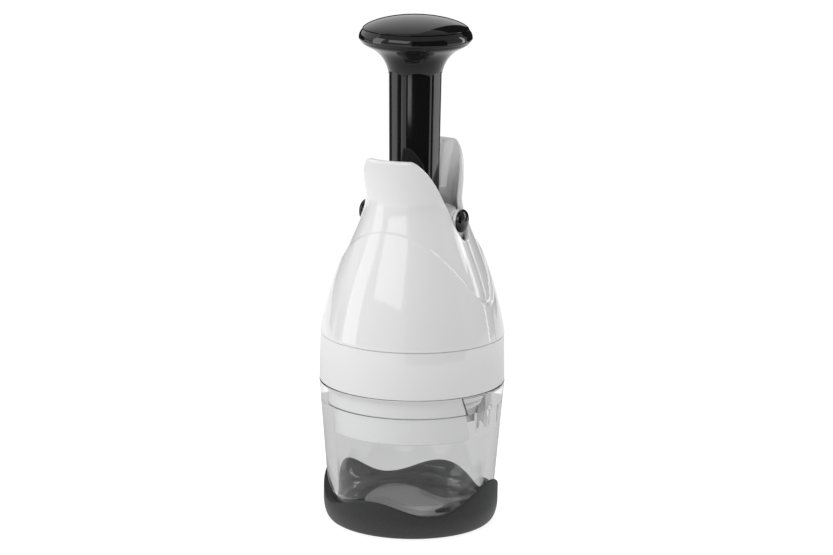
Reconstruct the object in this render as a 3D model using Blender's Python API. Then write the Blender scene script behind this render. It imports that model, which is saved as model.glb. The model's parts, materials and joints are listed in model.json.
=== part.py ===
"""Hand-pressed food chopper: clear cup, white hinged housing, black plunger with a turning blade.

Metres, +Z up. The origin is the centre of the foot's underside. +X runs through the side pivots,
and the front wing faces -Y.
"""

import math

import bmesh
import bpy
import numpy as np
from mathutils import Matrix, Vector

# Clearances and mesh density
GAP = 0.0003
SEGMENTS = 48

# Foot and cup
FOOT_FLOOR = 0.0037
FOOT_WALL = 0.0012
FOOT_EDGE_MEAN = 0.0169
FOOT_WAVE_FOUR = 0.0046
FOOT_WAVE_TWO = 0.0027
FOOT_FILLET_WIDTH = 0.0041
FOOT_FILLET_HEIGHT = 0.0120
CUP_RIM_RADIUS = 0.0465
CUP_HEIGHT = 0.0682
CUP_TAPER = 0.0056
CUP_FILLET_WIDTH = 0.0090
CUP_FILLET_HEIGHT = 0.0160
CUP_WALL = 0.0065
CUP_FLOOR = 0.0050
CUP_SOCKET_STEP = 0.0016
CUP_BORE_DRAFT = 0.075
CUP_INNER_FILLET = 0.0040
CUP_RIM_ROUND = 0.0006
KEY_PLAY = math.radians(1.2)
GUSSET_HEIGHT = 0.0125
GUSSET_WIDTH = 0.0034
GUSSET_DEPTH = 0.0018
GUSSET_ANGLE = math.radians(13.0)
GUSSET_TOP_SHARE = 0.6

# Collar
COLLAR_HEIGHT = 0.0237
COLLAR_WALL = 0.0030
COLLAR_DRAFT = 0.0004
SPIGOT_DEPTH = 0.0102
SKIRT_DEPTH = 0.0243
SKIRT_WALL = 0.0018
SKIRT_PLAY = 0.0004
ROOF_DROP = 0.0055
ROOF_THICKNESS = 0.0040
ROOF_BORE = 0.0052
ROOF_ROUND = 0.0018
COLLAR_EDGE = 0.0004
FLANGE_THICKNESS = 0.0026
WINDOW_TOP_HALF = math.radians(27.0)
WINDOW_LOW_HALF = math.radians(17.0)
WINDOW_CORNER = 0.0035
WINDOW_MOUTH_WIDEN = 1.12
WINDOW_BELOW_WIDEN = 1.30

# Wings, measured from the wing's lower edge and from the pivot
PIVOT_RISE = 0.0585
WING_WALL = 0.0027
WING_INSET = 0.0005
SEAM_GAP = 0.0004
WAIST_ABOVE_PIVOT = 0.0120
WAIST_RADIUS = 0.0244
WING_SWELL = 0.0385
WING_SHOULDER_DRAFT = 0.150
WAIST_HANDLE = 0.0153
TAB_FLARE = 0.0062
TAB_BEND_DROP = 0.0070
FRONT_TAB_RISE = 0.0325
REAR_TAB_RISE = 0.0350
NOTCH_DEPTH = 0.0095
FRONT_NOTCH_START = math.radians(25.5)
REAR_NOTCH_START = math.radians(17.5)
NOTCH_EASE_TOP = math.radians(3.5)
NOTCH_EASE_LOW = math.radians(24.0)
NOTCH_SLOPE_RISE = 0.0235
NOTCH_MOUTH = math.radians(72.0)
NOTCH_MOUTH_RISE = 0.0155
NOTCH_MOUTH_POWER = 2.5
HOOD_FRONT_REACH = math.radians(61.9)
HOOD_SIDE_REACH = math.radians(70.5)
HOOD_FRONT_DROP = 0.0040
HOOD_SIDE_DROP = 0.0415
HOOD_STEP_FRONT = 0.0003
HOOD_STEP_SIDE = 0.0019
HOOD_STEP_HEIGHT = 0.0012
WING_COLUMNS = 30
LOBE_ROWS = 5
HOOD_ROWS = 8

# Pivots
PIN_RADIUS = 0.0025
CAP_RADIUS = 0.00575
CAP_HEIGHT = 0.0036
CAP_SOCKET = 0.0021
CAP_SKIRT = 0.0008
EAR_RADIUS = 0.0055
EAR_THICKNESS = 0.0016
EAR_ROUND_HALF = math.radians(105.0)
EAR_ROOT_DROPS = (0.0140, 0.0050, -0.0030)
EAR_ROOT_ANGLE = math.radians(60.0)
PIN_DEPTH = 0.0067

# Inner frame
FRAME_HALF_SPAN = 0.0215
FRAME_STRUT = 0.0050
FRAME_STRUT_HALF_WIDTH = 0.0060
FRAME_FOOT_MARGIN = 0.0062
FRAME_FOOT_HALF_WIDTH = 0.0095
FRAME_FOOT_THICKNESS = 0.0030
HUB_BELOW_PIVOT = 0.0120
HUB_ABOVE_PIVOT = 0.0045
HUB_HALF_WIDTH = 0.0178
SCREW_SHANK = 0.00125
SCREW_HEAD = 0.0026
SCREW_HEAD_HEIGHT = 0.0018
SCREW_BITE = 0.0026

# Handle and plunger
HANDLE_APOTHEM = 0.0116
HANDLE_DRAFT = 0.0009
HANDLE_LENGTH = 0.1085
HANDLE_STRAIGHT = 0.0922
HANDLE_BORE = 0.0084
HANDLE_TOP_BORE = 0.0072
HANDLE_SHOULDER = 0.0360
KNOB_NECK_RADIUS = 0.0132
KNOB_UNDER_RADIUS = 0.0269
FLARE_RISE = 0.0131
FLARE_SPREAD = 0.0023
FLARE_DROP = 0.0033
FLARE_DRAW = 0.0006
FACET_ARCH = 0.0018
FACET_LEDGE = 0.0003
CORNER_EASE = 0.975
CORNER_HALF = 5.0
KNOB_RADIUS = 0.0279
KNOB_SEAM_RADIUS = 0.0260
KNOB_RIM_HEIGHT = 0.0058
KNOB_ROUND = ((0.0, 0.26), (0.05, 0.51), (0.26, 0.70), (0.60, 0.87), (1.0, 1.0))
DOME_HEIGHT = 0.0063
DOME_FULLNESS = 1.41
DOME_SPIGOT = 0.0080
GUIDE_PLAY = 0.0005
STOP_RING_RADIUS = 0.0158
STOP_RING_HEIGHT = 0.0064
STOP_RING_MARGIN = 0.0023
STOP_SCREW_RADIUS = 0.0015
SEAT_THICKNESS = 0.0037
WASHER_THICKNESS = 0.0009

# Index drive, spring and rod
RING_BASE = 0.0020
TOOTH_HEIGHT = 0.0012
TOOTH_COUNT = 12
TOOTH_PLAY = 0.00045
NUT_TOOTH_SHARE = 0.55
NUT_TOOTH_SHIFT = math.radians(2.5)
INDEX_INNER = 0.0078
INDEX_RADIUS = 0.0140
NUT_HEIGHT = 0.0072
ROD_APOTHEM = 0.0030
ROD_PLAY = 0.00035
ROD_TWIST = -math.radians(1000.0)
ROD_ROWS = 22
ROD_TIP_RADIUS = 0.0023
ROD_END_RADIUS = 0.0029
ROD_GROOVE_RADIUS = 0.0022
ROD_HEAD_RISE = 0.0028
CLIP_THICKNESS = 0.0009
CLIP_RADIUS = 0.0052
SPRING_RADIUS = 0.0064
SPRING_WIRE = 0.00058
SPRING_TURNS = 9
SPRING_POINTS = 10

# Blade and carrier
CARRIER_PLAY = 0.0022
CARRIER_THICKNESS = 0.0035
CARRIER_RIM = 0.0012
CARRIER_HEADROOM = 0.0010
CARRIER_STEP = 0.0017
BLADE_HEIGHT = 0.0112
BLADE_THICKNESS = 0.0008
BLADE_BEVEL = 0.0025
BLADE_EDGE = 0.0003
BLADE_END_MARGIN = 0.0050
BLADE_BEND_MARGIN = 0.0115
BLADE_SWING_UP = 0.0140
BLADE_MIDDLE_RISE = 0.0020
BLADE_TAB = 0.0095
TAB_ROOT_HALF = 0.0010
TAB_ROOT_SHARE = 0.985
RIVET_BEND_SHARE = 0.93
RIVET_RADIUS = 0.0013
RIVET_HEAD = 0.0024
RIVET_HEAD_HEIGHT = 0.0008

# Levels along Z, each worked out from the one below it
CUP_Z = FOOT_FLOOR + GAP
RIM_Z = CUP_Z + CUP_HEIGHT
SEAT_Z = RIM_Z + GAP
COLLAR_TOP_Z = SEAT_Z + COLLAR_HEIGHT
WING_Z = COLLAR_TOP_Z + GAP
PIVOT_Z = WING_Z + PIVOT_RISE
WAIST_Z = PIVOT_Z + WAIST_ABOVE_PIVOT
ROOF_LOW_Z = SEAT_Z - ROOF_DROP
ROOF_Z = ROOF_LOW_Z + ROOF_THICKNESS
SPIGOT_Z = SEAT_Z - SPIGOT_DEPTH
SKIRT_Z = SEAT_Z - SKIRT_DEPTH
HUB_LOW_Z = PIVOT_Z - HUB_BELOW_PIVOT
HUB_TOP_Z = PIVOT_Z + HUB_ABOVE_PIVOT
STOP_TOP_Z = HUB_LOW_Z - GAP
STOP_LOW_Z = STOP_TOP_Z - STOP_RING_HEIGHT
HANDLE_Z = STOP_LOW_Z - STOP_RING_MARGIN
SHOULDER_Z = HANDLE_Z + HANDLE_SHOULDER
HANDLE_STRAIGHT_Z = HANDLE_Z + HANDLE_STRAIGHT
HANDLE_RIM_Z = HANDLE_Z + HANDLE_LENGTH
HANDLE_TOP_Z = HANDLE_RIM_Z + KNOB_RIM_HEIGHT
DOME_Z = HANDLE_TOP_Z + GAP
RING_Z = ROOF_Z + GAP
TEETH_Z = RING_Z + RING_BASE
NUT_TOP_Z = TEETH_Z + TOOTH_HEIGHT + NUT_HEIGHT
LOW_WASHER_Z = NUT_TOP_Z + GAP
SEAT_TOP_Z = SHOULDER_Z - GAP
SEAT_LOW_Z = SEAT_TOP_Z - SEAT_THICKNESS
TOP_WASHER_Z = SEAT_LOW_Z - GAP - WASHER_THICKNESS
SPRING_LOW_Z = LOW_WASHER_Z + WASHER_THICKNESS + GAP
SPRING_TOP_Z = TOP_WASHER_Z - GAP
CARRIER_TOP_Z = ROOF_LOW_Z - CARRIER_HEADROOM
CARRIER_Z = CARRIER_TOP_Z - CARRIER_THICKNESS
ROD_STEP_Z = CARRIER_Z + CARRIER_STEP
ROD_TIP_Z = CARRIER_Z + GAP
BLADE_TOP_Z = CARRIER_Z - GAP
BLADE_Z = BLADE_TOP_Z - BLADE_HEIGHT

# Radii that follow their neighbours
CUP_BORE = CUP_RIM_RADIUS - CUP_WALL
SOCKET_RADIUS = CUP_BORE + CUP_SOCKET_STEP
SPIGOT_RADIUS = SOCKET_RADIUS - GAP
SKIRT_RADIUS = CUP_BORE - SKIRT_PLAY
SKIRT_LOW_RADIUS = SKIRT_RADIUS - CUP_BORE_DRAFT * (SPIGOT_Z - SKIRT_Z)
BELL_RADIUS = SKIRT_LOW_RADIUS - SKIRT_WALL
COLLAR_RADIUS = CUP_RIM_RADIUS - COLLAR_DRAFT / 4
COLLAR_TOP_RADIUS = COLLAR_RADIUS - COLLAR_DRAFT
WING_RADIUS = COLLAR_TOP_RADIUS - WING_INSET
EAR_PLANE = FRAME_HALF_SPAN + GAP
OUTER_EAR_PLANE = EAR_PLANE + EAR_THICKNESS + GAP
CAP_PLANE = OUTER_EAR_PLANE + EAR_THICKNESS + GAP
FRAME_FOOT_END = BELL_RADIUS - FRAME_FOOT_MARGIN
CARRIER_RADIUS = BELL_RADIUS - CARRIER_PLAY
BLADE_HALF_SPAN = CARRIER_RADIUS - BLADE_END_MARGIN
BLADE_SWING_DOWN = CARRIER_RADIUS - BLADE_BEND_MARGIN
HEX_CORNER = 1.0 / math.cos(math.radians(30.0))


def clear_scene():
    """Start from an empty scene."""
    for item in list(bpy.data.objects):
        bpy.data.objects.remove(item, do_unlink=True)


def material(name, colour, roughness, metallic=0.0, transmission=0.0):
    """Make one Principled finish."""
    made = bpy.data.materials.new(name)
    made.use_nodes = True
    shader = made.node_tree.nodes["Principled BSDF"]
    shader.inputs["Base Color"].default_value = (*colour, 1.0)
    shader.inputs["Roughness"].default_value = roughness
    shader.inputs["Metallic"].default_value = metallic
    shader.inputs["Transmission Weight"].default_value = transmission
    made.diffuse_color = (*colour, 1.0)
    return made


FINISHES = {
    "white_plastic": ((0.86, 0.86, 0.87), 0.15, 0.0, 0.0),
    "black_plastic": ((0.012, 0.012, 0.013), 0.10, 0.0, 0.0),
    "clear_plastic": ((0.95, 0.95, 0.95), 0.03, 0.0, 1.0),
    "grey_rubber": ((0.075, 0.077, 0.080), 0.70, 0.0, 0.0),
    "steel": ((0.62, 0.62, 0.63), 0.28, 1.0, 0.0),
    "nylon": ((0.78, 0.78, 0.76), 0.45, 0.0, 0.0),
}


def empty_at(name, location, parent=None):
    """Make an empty that stands on a joint's axis."""
    pivot = bpy.data.objects.new(name, None)
    bpy.context.scene.collection.objects.link(pivot)
    start = parent.matrix_world.translation if parent else Vector()
    pivot.location = Vector(location) - start
    pivot.parent = parent
    bpy.context.view_layer.update()
    return pivot


def piece(name, shape, finish, parent, smooth_angle=32.0):
    """Turn a bmesh made in world coordinates into a named object under its parent."""
    bmesh.ops.recalc_face_normals(shape, faces=shape.faces)
    start = parent.matrix_world.translation
    bmesh.ops.translate(shape, verts=shape.verts, vec=-start)
    mesh = bpy.data.meshes.new(name)
    shape.to_mesh(mesh)
    shape.free()
    mesh.shade_smooth()
    mesh.set_sharp_from_angle(angle=math.radians(smooth_angle))
    made = bpy.data.objects.new(name, mesh)
    bpy.context.scene.collection.objects.link(made)
    made.parent = parent
    made.data.materials.append(material(name + "_finish", *FINISHES[finish]))
    return made


def tool(name, shape, parent):
    """Make a hidden cutter or an added lump for a Boolean."""
    made = piece(name, shape, "nylon", parent)
    made.hide_render = True
    made.display_type = "WIRE"
    return made


def combine(target, operation, shapes):
    """Cut hidden shapes out of a piece, or join them to it, with one exact Boolean."""
    label = f"{target.name}_{operation.lower()}"
    group = bpy.data.collections.new(label)
    bpy.context.scene.collection.children.link(group)
    for index, shape in enumerate(shapes):
        group.objects.link(tool(f"{label}_{index}", shape, target.parent))
    step = target.modifiers.new(label, "BOOLEAN")
    step.operation = operation
    step.solver = "EXACT"
    step.operand_type = "COLLECTION"
    step.collection = group


def turned(profile, segments=SEGMENTS, phase=0.0):
    """Turn an outline of (radius, height) points round Z; a zero radius closes it on the axis."""
    shape = bmesh.new()
    rings = []
    for radius, height in profile:
        if radius < 1e-7:
            rings.append([shape.verts.new((0.0, 0.0, height))])
            continue
        turn = [phase + math.tau * step / segments for step in range(segments)]
        rings.append([shape.verts.new((radius * math.cos(a), radius * math.sin(a), height)) for a in turn])
    closed = len(rings[0]) > 1
    pairs = list(zip(rings, rings[1:]))
    if closed:
        pairs.append((rings[-1], rings[0]))
    for low, high in pairs:
        join_rings(shape, low, high)
    return shape


def join_rings(shape, low, high):
    """Bridge two rings of points, either of which may be a single point."""
    count = max(len(low), len(high))
    for step in range(count):
        nxt = (step + 1) % count
        if len(low) == 1:
            shape.faces.new((low[0], high[nxt], high[step]))
        elif len(high) == 1:
            shape.faces.new((low[step], low[nxt], high[0]))
        else:
            shape.faces.new((low[step], low[nxt], high[nxt], high[step]))


def stacked(rings):
    """Close a stack of rings of 3-D points with flat ends."""
    shape = bmesh.new()
    made = [[shape.verts.new(point) for point in ring] for ring in rings]
    for low, high in zip(made, made[1:]):
        join_rings(shape, low, high)
    shape.faces.new(list(reversed(made[0])))
    shape.faces.new(made[-1])
    return shape


def block(low, high):
    """Make a box between two corners."""
    shape = bmesh.new()
    size = Vector(high) - Vector(low)
    centre = (Vector(high) + Vector(low)) / 2
    bmesh.ops.create_cube(shape, size=1.0, matrix=Matrix.Translation(centre) @ Matrix.Diagonal((*size, 1.0)))
    return shape


def rod_along_x(start, end, radius, height, segments=20):
    """Make a round rod along X at a height."""
    rings = []
    for x in sorted((start, end)):
        turn = [math.tau * step / segments for step in range(segments)]
        rings.append([(x, radius * math.cos(a), height + radius * math.sin(a)) for a in turn])
    return stacked(rings)


def disc(radius, low, high, segments=24, centre=(0.0, 0.0)):
    """Make an upright round rod."""
    turn = [math.tau * step / segments for step in range(segments)]
    flat = [(centre[0] + radius * math.cos(a), centre[1] + radius * math.sin(a)) for a in turn]
    return stacked([[(x, y, low) for x, y in flat], [(x, y, high) for x, y in flat]])


def washer(inner, outer, low, high, segments=32):
    """Make a flat ring."""
    return turned([(outer, low), (outer, high), (inner, high), (inner, low)], segments)


def bezier(first, second, third, last, count=40):
    """Sample a cubic Bezier curve."""
    t = np.linspace(0.0, 1.0, count)[:, None]
    points = [np.array(point, dtype=float) for point in (first, second, third, last)]
    weights = ((1 - t) ** 3, 3 * (1 - t) ** 2 * t, 3 * (1 - t) * t ** 2, t ** 3)
    return sum(weight * point for weight, point in zip(weights, points))


def smooth_step(value):
    """Rise from 0 to 1 with flat ends."""
    value = min(1.0, max(0.0, value))
    return value * value * (3.0 - 2.0 * value)


def cup_outer(height):
    """Outer radius of the cup: a straight taper above an elliptical foot fillet."""
    above = height - CUP_Z
    radius = CUP_RIM_RADIUS - CUP_TAPER * (1.0 - above / CUP_HEIGHT)
    if above < CUP_FILLET_HEIGHT:
        share = 1.0 - above / CUP_FILLET_HEIGHT
        radius -= CUP_FILLET_WIDTH * (1.0 - math.sqrt(max(0.0, 1.0 - share * share)))
    return radius


def cup_bore(height):
    """Inner radius of the cup, which narrows steadily below the ledge."""
    return CUP_BORE - CUP_BORE_DRAFT * max(0.0, SPIGOT_Z - height)


def cup_side(offset, top):
    """Points up the cup's outer side, pushed out by an offset square to the surface."""
    shares = (0.0, 0.05, 0.16, 0.35, 0.65, 1.0)
    heights = [CUP_Z + CUP_FILLET_HEIGHT * share for share in shares]
    heights.append(top)
    points = []
    reach = CUP_FILLET_HEIGHT * 0.02
    for height in heights:
        slope = (cup_outer(height + reach) - cup_outer(height)) / reach
        length = math.hypot(1.0, slope)
        points.append((cup_outer(height) + offset / length, height - offset * slope / length))
    return points


def foot_edge(angle):
    """Height of the foot's wavy top edge; the crests stand under the side pivots."""
    return FOOT_EDGE_MEAN + FOOT_WAVE_FOUR * math.cos(4 * angle) + FOOT_WAVE_TWO * math.cos(2 * angle)


def around(radius, height):
    """Full ring of points at one radius and height."""
    turn = [math.tau * step / SEGMENTS for step in range(SEGMENTS)]
    return [(radius * math.cos(a), radius * math.sin(a), height) for a in turn]


def make_foot(parent):
    """Rubber foot: a shallow boot with a wavy edge, open at the top for the cup."""
    radius = cup_outer(foot_edge(0.0)) + GAP + FOOT_WALL
    lip = FOOT_WALL * 0.6
    turn = [math.tau * step / SEGMENTS for step in range(SEGMENTS)]
    rings = [[(0.0, 0.0, 0.0)]]
    for share in (0.0, 0.12, 0.35, 0.7):
        across = 1.0 - math.sqrt(1.0 - (1.0 - share) ** 2)
        rings.append(around(radius - FOOT_FILLET_WIDTH * across, FOOT_FILLET_HEIGHT * share))
    for inset, drop in ((0.0, lip), (FOOT_WALL / 2, 0.0)):
        reach = radius - inset
        rings.append([(reach * math.cos(a), reach * math.sin(a), foot_edge(a) - drop) for a in turn])
    seat = [point for point in cup_side(GAP, 0.0)[:-1] if point[1] < foot_edge(math.radians(45.0)) - 2 * lip]
    for share in (1.0, 0.7, 0.4, 0.15):
        rings.append([foot_inside(a, seat[-1][1], lip, share) for a in turn])
    rings += [around(r, z) for r, z in reversed(seat)]
    rings.append([(0.0, 0.0, FOOT_FLOOR)])
    shape = bmesh.new()
    made = [[shape.verts.new(point) for point in ring] for ring in rings]
    for low, high in zip(made, made[1:]):
        join_rings(shape, low, high)
    return piece("foot", shape, "grey_rubber", parent)


def foot_inside(angle, start, lip, share):
    """Point on the foot's inner wall, just clear of the cup."""
    height = start + (foot_edge(angle) - lip - start) * share
    radius = cup_outer(height) + GAP
    return radius * math.cos(angle), radius * math.sin(angle), height


def make_cup(parent):
    """Clear cup with a socket at its rim, two keys and four gussets."""
    floor = CUP_Z + CUP_FLOOR
    socket_z = SPIGOT_Z - GAP
    profile = [(0.0, CUP_Z)]
    profile += cup_side(0.0, RIM_Z - CUP_HEIGHT * 0.35)
    shoulder = RIM_Z - CUP_RIM_ROUND
    profile += [(cup_outer(shoulder), shoulder), (CUP_RIM_RADIUS - CUP_RIM_ROUND, RIM_Z)]
    profile += [(SOCKET_RADIUS, RIM_Z), (SOCKET_RADIUS, socket_z), (CUP_BORE, socket_z)]
    for share in (1.0, 0.5, 0.0):
        bend = math.radians(90.0 * share)
        height = floor + CUP_INNER_FILLET * (1.0 - math.cos(bend))
        profile.append((cup_bore(height) - CUP_INNER_FILLET * (1.0 - math.sin(bend)), height))
    profile.append((0.0, floor))
    made = piece("cup", turned(profile), "clear_plastic", parent)
    lumps = [key_block(side, socket_z) for side in (0.0, math.pi)]
    for side in (0.0, math.pi):
        lumps += [gusset(side + sign * GUSSET_ANGLE, socket_z) for sign in (-1, 1)]
    combine(made, "UNION", lumps)
    return made


def key_block(side, socket_z):
    """Sector that fills the rim socket under one pivot, and keys the collar."""
    inner, outer = CUP_BORE, SOCKET_RADIUS + CUP_SOCKET_STEP / 2
    low, high = socket_z - CUP_SOCKET_STEP / 2, RIM_Z - 4 * GAP
    return stacked([sector_ring(side, window_half(z) - KEY_PLAY, inner, outer, z) for z in (low, high)])


def window_half(height):
    """Half the angle that the collar's side windows span at a height."""
    share = (height - SKIRT_Z) / (SEAT_Z - SKIRT_Z)
    return WINDOW_LOW_HALF + (WINDOW_TOP_HALF - WINDOW_LOW_HALF) * share


def sector_ring(side, half, inner, outer, height, steps=6):
    """Outline of a sector of a ring, centred on one pivot's side."""
    turn = [side + half * (2.0 * step / steps - 1.0) for step in range(steps + 1)]
    ring = [(inner * math.cos(a), inner * math.sin(a), height) for a in turn]
    ring += [(outer * math.cos(a), outer * math.sin(a), height) for a in reversed(turn)]
    return ring


def gusset(angle, top):
    """Tapered rib that stiffens the cup's wall under a key."""
    bite = CUP_WALL / 3
    rings = []
    for share, depth in ((0.0, GUSSET_DEPTH), (0.8, GUSSET_DEPTH * 0.7), (1.0, -bite / 2)):
        half = GUSSET_WIDTH / 2 * (1.0 - 0.7 * share)
        height = top - GUSSET_HEIGHT * share
        crest = half * GUSSET_TOP_SHARE
        wall = cup_bore(height)
        rings.append([(wall + bite, -half, height), (wall + bite, half, height),
                      (wall - depth, crest, height), (wall - depth, -crest, height)])
    shape = stacked(rings)
    bmesh.ops.rotate(shape, verts=shape.verts, matrix=Matrix.Rotation(angle, 3, "Z"))
    return shape


def make_collar(parent):
    """White collar: outer band, spigot and skirt in the cup, roof over the blade."""
    edge = COLLAR_EDGE
    flange_top = SEAT_Z + FLANGE_THICKNESS
    inner = COLLAR_TOP_RADIUS - COLLAR_WALL
    profile = [
        (COLLAR_RADIUS - edge, SEAT_Z), (COLLAR_RADIUS, SEAT_Z + edge),
        (COLLAR_TOP_RADIUS, COLLAR_TOP_Z - edge), (COLLAR_TOP_RADIUS - edge, COLLAR_TOP_Z),
        (inner, COLLAR_TOP_Z), (inner, flange_top),
        (BELL_RADIUS, flange_top), (BELL_RADIUS, ROOF_Z), (ROOF_BORE, ROOF_Z), (ROOF_BORE, ROOF_LOW_Z),
        (BELL_RADIUS - ROOF_ROUND, ROOF_LOW_Z), (BELL_RADIUS, ROOF_LOW_Z - ROOF_ROUND),
        (BELL_RADIUS, SKIRT_Z), (SKIRT_LOW_RADIUS - edge, SKIRT_Z), (SKIRT_LOW_RADIUS, SKIRT_Z + edge),
        (SKIRT_RADIUS, SPIGOT_Z), (SPIGOT_RADIUS, SPIGOT_Z), (SPIGOT_RADIUS, SEAT_Z),
    ]
    made = piece("collar", turned(profile), "white_plastic", parent)
    cuts = [window_cutter(side) for side in (0.0, math.pi)]
    for x, y in screw_places():
        cuts.append(disc(SCREW_SHANK + GAP, ROOF_Z - SCREW_BITE - GAP, ROOF_Z + GAP, 12, (x, y)))
    combine(made, "DIFFERENCE", cuts)
    return made


def window_cutter(side):
    """Notch in the spigot and skirt under one pivot, narrower towards its open lower end."""
    inner, outer = BELL_RADIUS - 3 * GAP, SPIGOT_RADIUS + 2 * GAP
    levels = ((SKIRT_Z - WINDOW_CORNER, WINDOW_BELOW_WIDEN), (SKIRT_Z, WINDOW_MOUTH_WIDEN),
              (SKIRT_Z + WINDOW_CORNER, 1.0), (SEAT_Z - 2 * GAP, 1.0))
    return stacked([sector_ring(side, window_half(z) * widen, inner, outer, z) for z, widen in levels])


def screw_places():
    """Centres of the four screws that hold the frame to the roof."""
    x = (FRAME_HALF_SPAN + FRAME_FOOT_END) / 2
    y = FRAME_FOOT_HALF_WIDTH - SCREW_HEAD - GAP
    return [(sx * x, sy * y) for sx in (-1, 1) for sy in (-1, 1)]


SHOULDER_CURVE = bezier(
    (WING_Z, WING_RADIUS), (WING_Z + WING_SWELL, WING_RADIUS - WING_SWELL * WING_SHOULDER_DRAFT),
    (WAIST_Z - WAIST_HANDLE, WAIST_RADIUS), (WAIST_Z, WAIST_RADIUS))
QUARTER = math.pi / 2


def skin_radius(height):
    """Radius of the smooth white skin: shoulder, waist, then the flared tab."""
    shoulder = float(np.interp(height, SHOULDER_CURVE[:, 0], SHOULDER_CURVE[:, 1]))
    bend = WAIST_Z - TAB_BEND_DROP
    share = max(0.0, height - bend) / (PIVOT_Z + FRONT_TAB_RISE - bend)
    return shoulder + TAB_FLARE * share ** 2


def hood_height(phi):
    """Height of the step between lobe and hood, from the front centre to the side seam."""
    front, side = PIVOT_Z - HOOD_FRONT_DROP, PIVOT_Z - HOOD_SIDE_DROP
    curve = bezier((0.0, front), (HOOD_FRONT_REACH, front), (HOOD_SIDE_REACH, side), (QUARTER, side))
    return float(np.interp(abs(phi), curve[:, 0], curve[:, 1]))


def notch_height(phi, tab_rise, start):
    """Height of a wing's top edge, from its tab down the slope and round under the pivot cap."""
    top, low = PIVOT_Z + tab_rise, PIVOT_Z - NOTCH_DEPTH
    curve = bezier((start, top), (start + NOTCH_EASE_TOP, top),
                   (QUARTER - NOTCH_EASE_LOW, low + NOTCH_SLOPE_RISE), (QUARTER, low))
    slope = float(np.interp(abs(phi), curve[:, 0], curve[:, 1]))
    open_share = max(0.0, math.cos(phi)) / math.cos(NOTCH_MOUTH)
    return min(slope, low + NOTCH_MOUTH_RISE * open_share ** NOTCH_MOUTH_POWER)


def wing_radius(phi, height):
    """Outer radius of a wing with its hood set back behind the lobe."""
    share = (abs(phi) / QUARTER) ** 2
    step = HOOD_STEP_FRONT + (HOOD_STEP_SIDE - HOOD_STEP_FRONT) * share
    back = smooth_step((height - hood_height(phi)) / HOOD_STEP_HEIGHT)
    return skin_radius(height) + HOOD_STEP_FRONT - step * back


def wing_shell(tab_rise, start):
    """Half shell of the housing, facing -Y, as one closed skin of constant wall."""
    shape = bmesh.new()
    edge_round = WING_WALL * 0.4
    outer, inner, lip = [], [], []
    for column in range(WING_COLUMNS + 1):
        phi = QUARTER * (2.0 * column / WING_COLUMNS - 1.0)
        top = notch_height(phi, tab_rise, start) - edge_round
        step = hood_height(phi)
        heights = list(np.linspace(WING_Z, step, LOBE_ROWS + 1))
        heights += list(np.linspace(step + HOOD_STEP_HEIGHT, top, HOOD_ROWS + 1))
        outer.append([wing_point(shape, phi, z, 0.0) for z in heights])
        inner.append([wing_point(shape, phi, z, WING_WALL) for z in heights])
        lip.append(wing_point(shape, phi, top + edge_round, WING_WALL / 2))
    rows = len(outer[0])
    for column in range(WING_COLUMNS):
        skin, skin_next = outer[column], outer[column + 1]
        back, back_next = inner[column], inner[column + 1]
        for row in range(rows - 1):
            shape.faces.new((skin[row], skin_next[row], skin_next[row + 1], skin[row + 1]))
            shape.faces.new((back[row], back[row + 1], back_next[row + 1], back_next[row]))
        shape.faces.new((skin[-1], skin_next[-1], lip[column + 1], lip[column]))
        shape.faces.new((lip[column], lip[column + 1], back_next[-1], back[-1]))
        shape.faces.new((skin[0], back[0], back_next[0], skin_next[0]))
    for end in (0, WING_COLUMNS):
        skin, back = outer[end], inner[end]
        for row in range(rows - 1):
            shape.faces.new((skin[row], skin[row + 1], back[row + 1], back[row]))
        shape.faces.new((skin[-1], lip[end], back[-1]))
    return shape


def wing_point(shape, phi, height, inset):
    """Add one point of a wing; the outermost columns stop short of the seam."""
    radius = wing_radius(phi, height) - inset
    y = -radius * math.cos(phi)
    return shape.verts.new((radius * math.sin(phi), min(y, -SEAM_GAP / 2), height))


def ear(side, plane, hole):
    """Hinge ear that faces -Y at one side, or the hole through it."""
    if hole:
        return rod_along_x(side * (plane - 2 * GAP), side * (plane + EAR_THICKNESS + 2 * GAP),
                           PIN_RADIUS + GAP, PIVOT_Z)
    outline = []
    for step in range(9):
        turn = EAR_ROUND_HALF * (1.0 - step / 4)
        outline.append((EAR_RADIUS * math.cos(turn), PIVOT_Z + EAR_RADIUS * math.sin(turn)))
    for drop in EAR_ROOT_DROPS:
        height = PIVOT_Z - drop
        middle = plane + EAR_THICKNESS / 2
        radius = wing_radius(EAR_ROOT_ANGLE, height) - WING_WALL / 2
        outline.append((-math.sqrt(max(radius ** 2 - middle ** 2, EAR_RADIUS ** 2)), height))
    rings = [[(side * x, y, z) for y, z in outline] for x in (plane, plane + EAR_THICKNESS)]
    return stacked(rings)


def make_wing(name, parent, tab_rise, start, plane, rear):
    """One white wing with its two hinge ears."""
    shapes = [wing_shell(tab_rise, start)]
    shapes += [ear(side, plane, False) for side in (-1, 1)]
    shapes += [ear(side, plane, True) for side in (-1, 1)]
    if rear:
        for shape in shapes:
            bmesh.ops.rotate(shape, verts=shape.verts, matrix=Matrix.Rotation(math.pi, 3, "Z"))
    made = piece(name, shapes[0], "white_plastic", parent)
    combine(made, "UNION", shapes[1:3])
    combine(made, "DIFFERENCE", shapes[3:5])
    return made


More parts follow.
